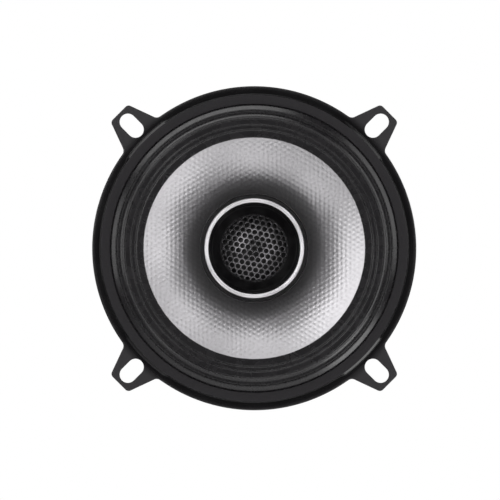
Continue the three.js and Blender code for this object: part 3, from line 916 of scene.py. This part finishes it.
def window_cutter(angle):
    """A rounded window that widens outwards, as the legs between run along radii."""
    inner, middle, outer = 37.0, 49.0, 62.0
    half = middle * math.tan(WINDOW_HALF_ANGLE)
    points = []
    for radius in (inner, outer):
        for u, z in rounded_box((-half, half), WINDOW_Z, WINDOW_CORNER, 6):
            across = u * radius / middle
            points.append((*spun(radius, across, angle), z))
    return build("cutter", points, capped_faces(2, len(points) // 2), PAINT)


def slot_cutter(angle):
    """A radial slot whose mouth flares slightly, so that its edge is eased."""
    reach = SLOT_HALF_LENGTH - SLOT_HALF_WIDTH
    levels = [(-1.0, 0.5), (0.0, 0.12), (0.12, 0.0), (EAR_TOP - 0.15, 0.0), (EAR_TOP, 0.15), (2.5, 1.2)]
    loops = []
    for z, flare in levels:
        radius = SLOT_HALF_WIDTH + flare
        ends = np.concatenate([
            arc((SLOT_R + reach, 0), radius, -math.pi / 2, math.pi / 2, 17),
            arc((SLOT_R - reach, 0), radius, math.pi / 2, 1.5 * math.pi, 17),
        ])
        loops.append(np.column_stack([*spun(ends[:, 0], ends[:, 1], angle), np.full(len(ends), z)]))
    return build("cutter", np.concatenate(loops), capped_faces(len(loops), len(loops[0])), PAINT)


def gaskets():
    outer, low, top = round_extent("front_gasket")
    ring = turned("front_gasket_ring", rounded(band(57.65, outer, low, top), 0.35), GASKET, 288)
    stands_for(ring, "front_gasket", "gasket")
    outer, low, top = round_extent("rear_gasket")
    ring = turned("rear_gasket_ring", rounded(band(57.6, outer, low, top), 0.3), FOAM, 288)
    stands_for(ring, "rear_gasket", "foam")


# ---------------------------------------------------------------- motor

def motor():
    for node_name, name, bore, easing, material, slot in (
        ("top_plate", "top_plate_turned", 14.3, 0.35, ZINC, "zinc_steel"),
        ("magnet", "magnet_ring", 16.5, 0.9, FERRITE, "ferrite"),
    ):
        radius, rear, front = round_extent(node_name)
        ring = turned(name, rounded(band(bore, radius, rear, front), easing), material)
        stands_for(ring, node_name, slot)
    radius, rear, front = round_extent("back_plate")
    pole, bore, pocket = 12.1, 5.2, 9.6
    seat = rear + 4.5
    outline = [
        (bore, front), (pole, front), (pole, seat + 1.5), (pole + 1.5, seat), (radius, seat),
        (radius, rear + 1.0), (radius - 1.0, rear), (20.4, rear), (20.0, rear + 0.35), (19.2, rear + 0.35),
        (18.8, rear), (pocket, rear), (pocket, rear + 3.7), (bore, rear + 3.7),
    ]
    stands_for(turned("back_plate_turned", rounded(outline, 0.3), ZINC), "back_plate", "zinc_steel")
    for i in range(1, 5):
        node_name = f"motor_rivet_{i}"
        _, _, (rear, front) = extent(node_name)
        head = front - 1.2
        outline = [
            (0, rear), (1.5, rear), (1.5, head), (2.6, head),
            (2.35, head + 0.75), (1.3, head + 1.15), (0, front),
        ]
        rivet(node_name, f"motor_rivet_head_{i}", outline, 0.25)


def rivet(node_name, name, outline, easing):
    """A rivet turned about the middle of the CAD node that it stands for."""
    (x0, x1), (y0, y1), _ = extent(node_name)
    obj = turned(name, rounded(outline, easing), ZINC, 48)
    obj.location = ((x0 + x1) / 2 * MM, 0, (y0 + y1) / 2 * MM)
    stands_for(obj, node_name, "zinc_steel")


# ---------------------------------------------------------------- cone, coil and suspension

CONE_EDGE_R = 44.4
CONE_NECK_R = 12.95
CONE_LIP_R = 46.8
CONE_THICKNESS = 0.7
DIMPLE_PITCH = 2.0
DIMPLE_DEPTH = 0.06


def cone_height(r):
    """A straight slope plus a flare that steepens towards the neck."""
    inward = (CONE_EDGE_R - r) / (CONE_EDGE_R - CONE_NECK_R)
    return np.where(inward < 0, 3.0, 3.0 - 9.0 * inward - 11.0 * np.abs(inward) ** 3)


def hexagonal_relief(x, y, pitch):
    """From 0 between the dimples to 1 at the middle of each, on a lattice with upright rows."""
    total = 0
    for turn in (0, 1, 2):
        angle = turn * math.pi / 3
        wave = 2 * math.pi / (pitch * math.cos(math.pi / 6))
        total = total + np.cos(wave * (x * math.cos(angle) + y * math.sin(angle)))
    return smoothstep(total, -0.6, 3.0)


def embossed_cone():
    sides = 760
    radii = np.concatenate([np.linspace(CONE_NECK_R, CONE_EDGE_R, 96), [45.0, 45.9, CONE_LIP_R]])
    angles = around(sides)[:, None]
    x, y = np.cos(angles) * radii, np.sin(angles) * radii
    heights = cone_height(radii)
    faded = 1 - smoothstep(radii, 43.7, 44.4)
    front = heights - DIMPLE_DEPTH * hexagonal_relief(x, y, DIMPLE_PITCH) * faded
    line = np.column_stack([radii, heights])[::-1][::4]
    back = behind(line[::-1], CONE_THICKNESS)[::-1]
    back_x, back_y = np.cos(angles) * back[:, 0], np.sin(angles) * back[:, 0]
    back_z = np.broadcast_to(back[:, 1], back_x.shape)
    loops = np.concatenate([np.dstack([x, y, front]), np.dstack([back_x, back_y, back_z])], axis=1)
    cone = build("cone_embossed", loops.reshape(-1, 3), grid_faces(sides, loops.shape[1]), SILVER, 60)
    stands_for(cone, "cone", "silver_cone", CONE)

    bead_r = 21.8
    turn = np.linspace(0, 2 * math.pi, 14, endpoint=False)
    bead_z = cone_height(bead_r) + 0.02
    outline = np.column_stack([bead_r + 0.2 * np.cos(turn), bead_z + 0.2 * np.sin(turn)])
    stands_for(turned("cone_bead_ring", outline, CLEAR_GLUE, 240, 60), "cone_bead", "adhesive", CONE)


def coil():
    radius, rear, front = round_extent("voice_coil_former")
    tube = turned("former_tube", rounded(band(12.5, radius, rear, front), 0.06), KAPTON)
    stands_for(tube, "voice_coil_former", "kapton", CONE)
    neck = float(cone_height(CONE_NECK_R))
    fillet = [
        (12.82, neck + 1.3), (13.0, neck + 0.7), (13.6, neck + 0.95), (13.1, neck - 0.2), (12.82, neck - 0.4),
    ]
    extra(turned("cone_neck_glue", rounded(fillet, 0.3), ADHESIVE, 160), CONE)

    radius, rear, front = round_extent("voice_coil_winding")
    outline = wound_outline(12.85, radius, rear, front, int((front - rear) / 0.3), 0.1)
    stands_for(turned("winding_wound", outline, COPPER, 128, 60), "voice_coil_winding", "copper", CONE)


def wound_outline(inner, outer, rear, front, turns, bulge):
    """A coil's section: its outside is scalloped, one scallop for each turn of the wire."""
    outline = [(inner, front), (inner, rear)]
    for i in range(turns):
        for share in (0.0, 0.25, 0.5, 0.75):
            z = rear + (i + share) * (front - rear) / turns
            outline.append((outer - bulge + bulge * math.sin(math.pi * share), z))
    return outline


ROLL_START, ROLL_END = 46.9, 57.5
# The surround's front face from its bond to the cone outwards: the bond, four ridges, then the flange.
SURROUND_RIDGES = [
    (44.3, 3.3), (44.36, 3.85), (44.9, 3.87), (46.9, 3.87),
    (47.38, 3.78), (47.66, 4.25), (48.6, 4.35), (49.15, 4.42),
    (49.45, 5.0), (50.2, 5.12), (51.1, 5.15), (51.65, 5.2),
    (51.95, 5.78), (52.55, 6.0), (52.85, 5.95), (53.95, 5.0), (54.25, 4.9), (54.75, 4.98),
    (55.05, 5.48), (55.4, 5.6), (55.65, 5.45), (57.4, 3.93), (57.6, 3.4),
    (58.2, 2.95), (61.35, 2.95),
]
SURROUND_THICKNESS = 0.55


def ribbed_surround():
    outline = sheet(curve_through(SURROUND_RIDGES, 5), SURROUND_THICKNESS)
    ring = turned("surround_moulding", outline, RUBBER, 300, 60)
    bends_with_radius(ring, "surround", CONE, ROLL_START, ROLL_END)


SPIDER_START, SPIDER_END = 15.2, 35.2
SPIDER_WAVES = 6
SPIDER_WAVE_HEIGHT = 1.15


def corrugated_spider():
    outer, rear, front = round_extent("spider")
    middle = (front + rear) / 2 + 0.25
    r = np.concatenate([[CONE_NECK_R], np.arange(13.6, 36, 0.16), [37, 39, outer]])
    share = np.clip((r - SPIDER_START) / (SPIDER_END - SPIDER_START), 0, 1)
    swell = np.sin(math.pi * share) ** 0.35
    z = middle + SPIDER_WAVE_HEIGHT * swell * np.sin(2 * math.pi * SPIDER_WAVES * share)
    outline = sheet(np.column_stack([r, z]), 0.42)
    ring = turned("spider_cloth_disc", outline, CLOTH, 240, 60)
    bends_with_radius(ring, "spider", CONE, SPIDER_START, SPIDER_END)
    bead = [(37.4, middle - 0.05), (41.2, middle - 0.6), (40.2, middle + 0.35), (38, middle + 0.3)]
    extra(turned("spider_glue", rounded(bead, 0.5), ADHESIVE, 200))


# ---------------------------------------------------------------- tweeter

def tweeter_body():
    radius, rear, front = round_extent("tweeter_housing")
    outline = [
        (3.5, rear), (15, rear), (16.8, rear + 1.85), (17.5, 2.6), (radius, 4.4), (radius, front),
        (18.1, front), (18.1, 3.6), (16.2, 3.4), (15.7, -2), (15.7, -6.9), (3.5, -6.9),
    ]
    stands_for(turned("tweeter_shell", rounded(outline, 0.5, 4), GLOSS), "tweeter_housing", "black_plastic")

    radius, rear, front = round_extent("tweeter_trim_ring")
    inner = 18.3
    middle, crown = (inner + radius) / 2, 0.27
    outline = [
        (inner, 5.75), (inner, front - crown), (middle, front), (radius, front - crown),
        (radius, rear), (radius - 0.15, rear), (radius - 0.15, 5.75),
    ]
    ring = turned("trim_ring_spun", rounded(outline, 0.16, 4), BRUSHED, 288)
    stands_for(ring, "tweeter_trim_ring", "bright_ring")

    outline = [
        (13.45, 3.75), (13.45, 4.05), (16.9, 4.2), (17.75, 5.5), (18.1, 5.5),
        (18.1, 4.6), (17.8, 3.75), (16, 3.55), (15.5, 1.85), (14.7, 1.85), (14.7, 3.75),
    ]
    ring = turned("waveguide_moulding", rounded(outline, 0.12, 4), GLOSS, 240)
    stands_for(ring, "tweeter_waveguide", "black_plastic")


def threaded_post():
    radius, rear, front = round_extent("tweeter_post")
    tube_r, bore = 4.9, 3.2
    shoulder = -27.85
    outline = [
        (bore, shoulder - 1), (tube_r, shoulder - 1), (tube_r, shoulder),
        (radius, shoulder), (radius, front), (bore, front),
    ]
    body = turned("post_body", rounded(outline, 0.4), GRAINED, 128)
    # The lower end is threaded: a ridge that climbs one pitch for each turn.
    sides, pitch, depth = 96, 0.8, 0.35
    heights = np.arange(rear, shoulder - 0.9, 0.1)
    loops = []
    for angle in around(sides):
        phase = (heights / pitch - angle / (2 * math.pi)) % 1
        ridge = np.abs(phase - 0.5) * 2
        ends = smoothstep(heights, rear, rear + 0.5)
        outer = tube_r - depth * (1 - ridge * ends)
        radii = np.concatenate([outer, [bore, bore]])
        z = np.concatenate([heights, [heights[-1], heights[0]]])
        loops.append(np.column_stack([radii * math.cos(angle), radii * math.sin(angle), z]))
    points = np.concatenate(loops)
    thread = build("post_thread", points, grid_faces(sides, len(loops[0])), GRAINED, 50)
    stands_for(merged("tweeter_post_threaded", [body, thread]), "tweeter_post", "black_plastic")


def nut_and_washer():
    radius, rear, front = round_extent("tweeter_post_washer")
    washer = turned("post_washer_pressed", rounded(band(5.2, radius, rear, front), 0.15), ZINC, 96)
    stands_for(washer, "tweeter_post_washer", "zinc_steel")
    _, (_, flat), (rear, front) = extent("tweeter_post_nut")
    corner = flat / math.cos(math.pi / 6)
    hexagon = [(corner * math.cos(i * math.pi / 3), corner * math.sin(i * math.pi / 3)) for i in range(6)]
    nut = plate("post_nut_hex", hexagon, rear, front, ZINC, edge=0.05)
    chamfer = 0.75
    outline = [
        (5.15, rear - 0.01), (5.7, rear - 0.01), (flat, rear - 0.01), (corner + 0.2, rear + chamfer),
        (corner + 0.2, front - chamfer), (flat, front + 0.01), (5.15, front + 0.01),
    ]
    carved(nut, turned("nut_blank", outline, ZINC, 96), "INTERSECT")
    stands_for(nut, "tweeter_post_nut", "zinc_steel")


def dome_height(r, radius, rim, rise):
    return rim + rise * (1 - (r / radius) ** 2)


GRILLE_R = 13.4
GRILLE_HOLE_R = 0.96
GRILLE_PITCH = 2.42
GRILLE_TURN = -12.5  # degrees


def grille_cell(centre_x, centre_y, rim_z, rise):
    """A hexagon of sheet round its hole, cut off at the rim's circle and pressed to the dome."""
    corners = np.arange(18) * math.pi / 9
    off_flat = (corners + math.pi / 6) % (math.pi / 3) - math.pi / 6
    hexagon = GRILLE_PITCH / 2 / np.cos(off_flat)
    # Each ring's reach from the hole's middle, and how far it lies below the dome.
    rings = [(hexagon, 0.0), (GRILLE_HOLE_R + 0.1, 0.0), (GRILLE_HOLE_R, 0.07)]
    points = []
    for distance, drop in rings:
        x = centre_x + distance * np.cos(corners)
        y = centre_y + distance * np.sin(corners)
        inside = np.minimum(1, GRILLE_R / np.maximum(np.hypot(x, y), 1e-6))
        x, y = x * inside, y * inside
        z = dome_height(np.hypot(x, y), GRILLE_R, rim_z, rise) - drop
        points += zip(*spun(x, y, math.radians(GRILLE_TURN)), z)
    return points, side_faces(len(rings), len(corners))


def perforated_grille():
    _, rear, apex = round_extent("tweeter_grille")
    rim_z = rear + 0.4
    hexagons = []
    reach = int(GRILLE_R / GRILLE_PITCH) + 2
    for row in range(-reach, reach + 1):
        for column in range(-reach, reach + 1):
            centre_x = GRILLE_PITCH * (column + row / 2)
            centre_y = GRILLE_PITCH * row * math.sqrt(3) / 2
            if math.hypot(centre_x, centre_y) <= GRILLE_R + GRILLE_PITCH * 0.6:
                hexagons.append(grille_cell(centre_x, centre_y, rim_z, apex - rim_z))
    grille = build("grille_perforated", *gathered(hexagons), GRILLE, 50)
    drop_specks(grille)
    thick = grille.modifiers.new("thickness", "SOLIDIFY")
    thick.thickness = 0.35 * MM
    thick.offset = -1
    settled(grille, 50)
    rim = [
        (GRILLE_R - 0.25, rim_z - 0.35), (GRILLE_R - 0.25, rim_z - 0.06), (GRILLE_R + 0.15, rim_z - 0.03),
        (GRILLE_R + 0.75, rim_z - 0.03), (GRILLE_R + 0.75, rim_z - 0.35),
    ]
    ring = turned("rim", rounded(rim, 0.12), GRILLE, 192)
    stands_for(merged("grille_and_rim", [grille, ring]), "tweeter_grille", "grille_steel")


def drop_specks(obj):
    """Remove faces squashed to nothing at the rim, and weld the hexagons together."""
    cleaned = bmesh.new()
    cleaned.from_mesh(obj.data)
    bmesh.ops.remove_doubles(cleaned, verts=cleaned.verts, dist=0.01 * MM)
    bmesh.ops.dissolve_degenerate(cleaned, edges=cleaned.edges, dist=0.005 * MM)
    specks = [f for f in cleaned.faces if f.calc_area() < (0.02 * MM) ** 2]
    bmesh.ops.delete(cleaned, geom=specks, context="FACES")
    front = [f for f in cleaned.faces if f.normal.y > 0]
    bmesh.ops.reverse_faces(cleaned, faces=front)
    cleaned.to_mesh(obj.data)
    cleaned.free()


def tweeter_diaphragm():
    _, rear, apex = round_extent("tweeter_dome")
    radius = 12.3
    r = np.linspace(0, radius, 40)
    z = dome_height(r, radius, rear + 0.3, apex - rear - 0.3)
    line = np.vstack([np.column_stack([r, z]), [radius + 0.25, rear + 0.22], [radius + 0.55, rear + 0.3]])
    outline = sheet(line, 0.22)
    outline[0, 0] = outline[-1, 0] = 0
    dome = turned("dome_woven", outline, SILK, 160, 50)
    stands_for(dome, "tweeter_dome", "silk", DIAPHRAGM)

    arch = np.linspace(0, math.pi, 13)
    line = np.column_stack([13.72 - 0.72 * np.cos(arch), 1.62 + 0.75 * np.sin(arch)])
    line = np.vstack([line, [15.5, 1.62]])
    ring = turned("dome_surround_roll", sheet(line, 0.2), SILK, 160, 60)
    bends_with_radius(ring, "tweeter_surround", DIAPHRAGM, 13.05, 14.4)

    radius, rear, front = round_extent("tweeter_voice_coil")
    outline = wound_outline(radius - 0.55, radius, rear, front, 20, 0.05)
    coil_ring = turned("dome_coil_wound", outline, COPPER, 96, 60)
    stands_for(coil_ring, "tweeter_voice_coil", "copper", DIAPHRAGM)


def tweeter_motor():
    radius, rear, front = round_extent("tweeter_yoke")
    outline = [(0, rear), (radius, rear), (radius, front), (13.3, front), (13.3, -5.4), (0, -5.4)]
    stands_for(turned("yoke_cup", rounded(outline, 0.3), ZINC, 128), "tweeter_yoke", "zinc_steel")
    for node_name, name, material, slot in (
        ("tweeter_magnet", "tweeter_magnet_disc", NICKEL, "neodymium"),
        ("tweeter_pole_plate", "pole_plate_disc", ZINC, "zinc_steel"),
    ):
        radius, rear, front = round_extent(node_name)
        stands_for(turned(name, rounded(band(0, radius, rear, front), 0.25), material, 96), node_name, slot)


# ---------------------------------------------------------------- terminals and wiring

def terminal_board():
    x_range, y_range, (rear, front) = extent("terminal_board")
    board = plate("board_punched", rounded_box(x_range, y_range, 1.5), rear, front, PHENOLIC, edge=0.12)
    stands_for(board, "terminal_board", "phenolic")
    for i in (1, 2):
        node_name = f"board_rivet_{i}"
        _, _, (rear, front) = extent(node_name)
        outline = [
            (0.6, rear + 0.35), (0.9, rear), (1.5, rear + 0.1), (2.1, rear + 0.75), (1.2, rear + 0.85),
            (1.2, front - 0.95), (2.2, front - 0.9), (1.7, front - 0.2), (0, front), (0, rear + 0.35),
        ]
        rivet(node_name, f"board_rivet_eyelet_{i}", outline, 0.15)


def blob(name, centre, radii, material):
    """A drop of solder or glue: a squashed ball with a slightly uneven skin."""
    rings, sides = 12, 20
    points = []
    for i in range(rings + 1):
        polar_angle = math.pi * i / rings
        for angle in around(sides):
            swell = 1 + 0.06 * math.sin(3 * angle + 2 * polar_angle) * math.sin(polar_angle)
            points.append((
                centre[0] + radii[0] * swell * math.sin(polar_angle) * math.cos(angle),
                centre[1] + radii[1] * swell * math.sin(polar_angle) * math.sin(angle),
                centre[2] + radii[2] * math.cos(polar_angle),
            ))
    return build(name, points, side_faces(rings + 1, sides), material, 70)


def push_on_terminal(node_name, name):
    (x0, x1), (y0, y1), (tip, stud_top) = extent(node_name)
    middle = (x0 + x1) / 2
    half = (x1 - x0) / 2
    _, _, (board_rear, board_front) = extent("terminal_board")
    foot = board_rear - 0.15
    thickness = 0.8
    blade_outline = [
        (x0, foot), (x0, tip + 1.1), (x0 + 0.6, tip + 0.15), (x0 + 1, tip), (x1 - 1, tip),
        (x1 - 0.6, tip + 0.15), (x1, tip + 1.1), (x1, foot),
    ]
    blade = plate("blade", blade_outline, y1 - thickness, y1, TIN, edge=0.14, upright=True)
    hole_z = tip + 3.4
    ring = [(middle + 0.7 * math.cos(a), hole_z + 0.7 * math.sin(a)) for a in around(24)]
    carved(blade, plate("hole", ring, y1 - 2, y1 + 1, TIN, edge=0.01, upright=True))
    base = plate("foot", rounded_box((x0, x1), (y0, y1 - 0.05), 0.5), foot - thickness, foot, TIN, edge=0.12)
    shank = [(0, foot - 0.2), (1.0, foot - 0.2), (1.0, stud_top), (0, stud_top + 0.1)]
    stud = turned("stud", rounded(shank, 0.2), TIN, 32)
    stud.data.transform(shift(middle, 48.0, 0))
    drop = blob("solder", (middle, 48.0, board_front + 0.35), (1.75, 1.6, 0.75), TIN)
    rear_drop = blob("solder_rear", (middle, 47.9, foot - thickness - 0.1), (min(half, 1.5), 1.25, 0.75), TIN)
    stands_for(merged(name, [blade, base, stud, drop, rear_drop]), node_name, "tinned")


def shift(x, y, z):
    """A move in the speaker's own frame, as a matrix of the row's frame."""
    return Matrix.Translation((x * MM, -z * MM, y * MM))


def film_capacitor():
    (x0, x1), (y0, y1), (z0, z1) = extent("capacitor")
    radius, half = (y1 - y0) / 2, (x1 - x0) / 2
    end = [
        (0, half - 0.7), (radius - 1.2, half - 0.7), (radius - 0.9, half), (radius - 0.2, half),
        (radius, half - 0.6),
    ]
    outline = [(r, -z) for r, z in end] + end[::-1]
    body = turned("capacitor_body", rounded(outline, 0.3, 4), SLEEVE, 96)
    for vertex in body.data.vertices:
        along = vertex.co.y
        vertex.co.y = vertex.co.x
        vertex.co.x = along
    body.data.flip_normals()
    body.data.transform(shift((x0 + x1) / 2, (y0 + y1) / 2, (z0 + z1) / 2))
    stands_for(shade(body), "capacitor", "capacitor_sleeve")


def wire(name, route, radius, material, node_name, slot, steps=10):
    points, faces = tube_along(curve_through(route, steps), radius)
    stands_for(build(name, points, faces, material, 60), node_name, slot)


def wiring():
    (_, _), (y0, y1), (z0, z1) = extent("capacitor")
    y, z = (y0 + y1) / 2, (z0 + z1) / 2
    _, _, (board_rear, _) = extent("terminal_board")
    solder = board_rear - 1.45
    wire("capacitor_wire_positive", [
        (-7.4, y, z), (-8.6, y, z), (-9.8, y + 0.1, z + 0.3), (-11.4, 46, z + 1.6), (-12, 47.4, solder),
    ], 0.35, TIN, "capacitor_lead_positive", "tinned")
    wire("capacitor_wire_tweeter", [
        (7.4, y, z), (8.4, y, z), (9.0, y - 0.15, z - 0.1), (9.6, y - 0.6, z - 0.8),
    ], 0.35, TIN, "capacitor_lead_tweeter", "tinned")

    _, rear, _ = round_extent("back_plate")
    magnet_r, _, _ = round_extent("magnet")
    post_end = rear - 0.8
    back_run = rear - 0.9
    side_run = magnet_r + 1.05

    def down_the_post(x):
        down = [(x, 0, z) for z in (-7.3, -18, -30, -42)]
        return down + [(x, 0.2, rear + 2), (x, 1.6, post_end - 0.6)]

    wire("tweeter_wire_positive", down_the_post(-1.1) + [
        (-0.9, 5.4, post_end - 1), (-0.4, 12, back_run), (0.4, 24, back_run),
        (1, 34, back_run), (1.4, 37.2, rear + 0.6), (1.7, side_run, rear + 4.5), (2.6, side_run, -40),
        (5.4, side_run, -34), (8.6, side_run + 1.6, -31.4), (9.75, y - 0.9, z - 1.3),
    ], 0.65, RED_WIRE, "tweeter_lead_positive", "red_wire", 12)
    wire("tweeter_wire_negative", down_the_post(1.1) + [
        (1.2, 5.4, post_end - 1), (1.6, 12, back_run), (2.6, 24, back_run),
        (3.6, 34, back_run), (4.2, 37.2, rear + 0.6), (4.7, side_run, rear + 4.5), (5.8, side_run, -40),
        (9, side_run, -34.4), (12.2, side_run + 3, -29.6), (12, 47.3, solder - 0.5),
    ], 0.65, BLACK_WIRE, "tweeter_lead_negative", "black_wire", 12)
    extra(blob("lead_splice_solder", (9.7, y - 0.75, z - 1.0), (0.8, 0.8, 1.1), TIN))
    outline = rounded_box((-2.2, 4.6), (22.4, 25.2), 0.8)
    strap = plate("lead_strap", outline, back_run - 0.85, back_run - 0.6, GRAINED, edge=0.1)
    extra(strap)


BRAID_LAY = 3.4  # along the lead, for one full turn of a strand


def braided_lead(name, route, radius):
    """Four strands twisted round each other."""
    path = curve_through(route, 14)
    along = directions(path)
    travelled = np.concatenate([[0], np.cumsum(np.linalg.norm(np.diff(path, axis=0), axis=1))])
    strands = []
    for strand in range(4):
        line = []
        for centre, distance, (side, up) in zip(path, travelled, carried(along, [1, 0.2, 0.1])):
            angle = distance * 2 * math.pi / BRAID_LAY + strand * math.pi / 2
            line.append(centre + (side * math.cos(angle) + up * math.sin(angle)) * radius * 0.52)
        strands.append(tube_along(line, radius * 0.46, 10))
    points, faces = gathered(strands)
    return build(name, points, faces, TINSEL, 70)


def tinsel_leads():
    _, _, (_, board_front) = extent("terminal_board")
    for side, way in (("left", -1), ("right", 1)):
        (x0, x1), (y0, y1), _ = extent(f"lead_anchor_{side}")
        anchor = ((x0 + x1) / 2, (y0 + y1) / 2)
        surface_z = float(cone_height(math.hypot(*anchor))) - CONE_THICKNESS
        dab = blob(f"lead_glue_{side}", (*anchor, surface_z - 1.0), (1.9, 1.9, 0.95), ADHESIVE)
        stands_for(dab, f"lead_anchor_{side}", "adhesive", CONE)
        route = [
            (way * 12, 48, board_front + 0.3), (way * 12, 47.9, -18.4), (way * 12, 47.6, -16.4),
            (way * 11.8, 45.2, -14.4), (way * 11.2, 40.4, -14), (way * 10.2, 34, -14.6),
            (way * 9.2, 28, -12.6),
            (anchor[0], anchor[1] + 1.2, surface_z - 1.7), (anchor[0], anchor[1] - 0.3, surface_z - 1.3),
        ]
        lead = braided_lead(f"tinsel_braid_{side}", route, 0.6)
        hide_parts(f"tinsel_lead_{side}")
        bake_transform(lead)


# ---------------------------------------------------------------- the studio

def soft_box(name, off_axis, round_axis, power, size, breadth=None, distance=1.2):
    """An oval soft box aimed at the speaker: degrees off the speaker's axis, then round it from the right.

    The breadth is its size in metres along the circle about the axis, where that differs.
    """
    off, round_it = math.radians(off_axis), math.radians(round_axis)
    data = bpy.data.lights.new(name, "AREA")
    data.shape = "ELLIPSE"
    data.size = breadth or size
    data.size_y = size
    data.energy = power
    obj = linked(name, data)
    away = Vector((math.sin(off) * math.cos(round_it), -math.cos(off), math.sin(off) * math.sin(round_it)))
    beside = Vector((-math.sin(round_it), 0, math.cos(round_it)))
    turn = Matrix((beside, away.cross(beside), away)).transposed()
    obj.matrix_world = Matrix.Translation(away * distance) @ turn.to_4x4()
    obj.visible_camera = False


def studio():
    lows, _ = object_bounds()
    mesh = bpy.data.meshes.new("floor")
    half = 3.0
    corners = [(-half, -half, 0), (half, -half, 0), (half, half, 0), (-half, half, 0)]
    mesh.from_pydata(corners, [], [(0, 1, 2, 3)])
    floor = linked("floor", mesh)
    floor.location.z = lows[2] - 1.0
    made, tree, shader = surface("pale_floor", (0.86, 0.86, 0.86), 0.9)
    seen = node(tree, "LightPath").outputs["Is Camera Ray"]
    shader.inputs["Emission Color"].default_value = (1, 1, 1, 1)
    tree.links.new(calc(tree, "MULTIPLY", seen, 1.0), shader.inputs["Emission Strength"])
    mesh.materials.append(made)
    floor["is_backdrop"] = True

    world = bpy.data.worlds.new("studio")
    bpy.context.scene.world = world
    world.use_nodes = True
    tree = world.node_tree
    seen = node(tree, "LightPath").outputs["Is Camera Ray"]
    tree.nodes["Background"].inputs[0].default_value = (1, 1, 1, 1)
    tree.links.new(remap(tree, seen, 0.01, 1.0), tree.nodes["Background"].inputs[1])

    soft_box("right", 34, 0, 1.0, 0.42)
    soft_box("upper_right", 34, 45, 0.85, 0.42)
    soft_box("top", 34, 90, 0.85, 0.42)
    soft_box("upper_left", 29, 138, 1.3, 0.42)
    soft_box("left", 30, 178, 1.15, 0.42)
    soft_box("lower_left", 37, 225, 0.6, 0.42)
    soft_box("bottom", 34, 270, 0.6, 0.42)
    soft_box("lower_right", 28, 318, 0.85, 0.36)
    soft_box("edge_right", 82, 20, 2.2, 0.4, 1.4)
    soft_box("edge_top", 82, 110, 4.0, 0.4, 1.8)
    soft_box("edge_left", 82, 176, 1.2, 0.4, 0.8)
    soft_box("edge_lower_right", 82, 315, 1.9, 0.4, 0.6)
    soft_box("side_upper_right", 64, 45, 0.12, 0.35)
    soft_box("side_lower_left", 64, 225, 0.12, 0.35)
    soft_box("rear_left", 128, 150, 13, 0.7)
    soft_box("rear_right", 122, 20, 8, 0.7)
    soft_box("rear_below", 140, 250, 5, 0.7)


def camera():
    """Square on to the speaker from far off; 200.6 mm fills the frame at the mounting plane."""
    data = bpy.data.cameras.new("camera")
    data.lens = 200
    data.sensor_width = 36
    data.clip_start = 0.1
    field = 0.2006
    obj = linked("camera", data)
    obj.location = (-0.0017, -field * data.lens / data.sensor_width, -0.0007)
    obj.rotation_euler = (math.pi / 2, 0, 0)
    bpy.context.scene.camera = obj


bpy.context.scene.view_settings.view_transform = "Standard"
camera()
pressed_basket()
gaskets()
motor()
embossed_cone()
coil()
ribbed_surround()
corrugated_spider()
tweeter_body()
threaded_post()
nut_and_washer()
perforated_grille()
tweeter_diaphragm()
tweeter_motor()
terminal_board()
push_on_terminal("terminal_positive", "terminal_positive_blade")
push_on_terminal("terminal_negative", "terminal_negative_blade")
film_capacitor()
wiring()
tinsel_leads()
studio()
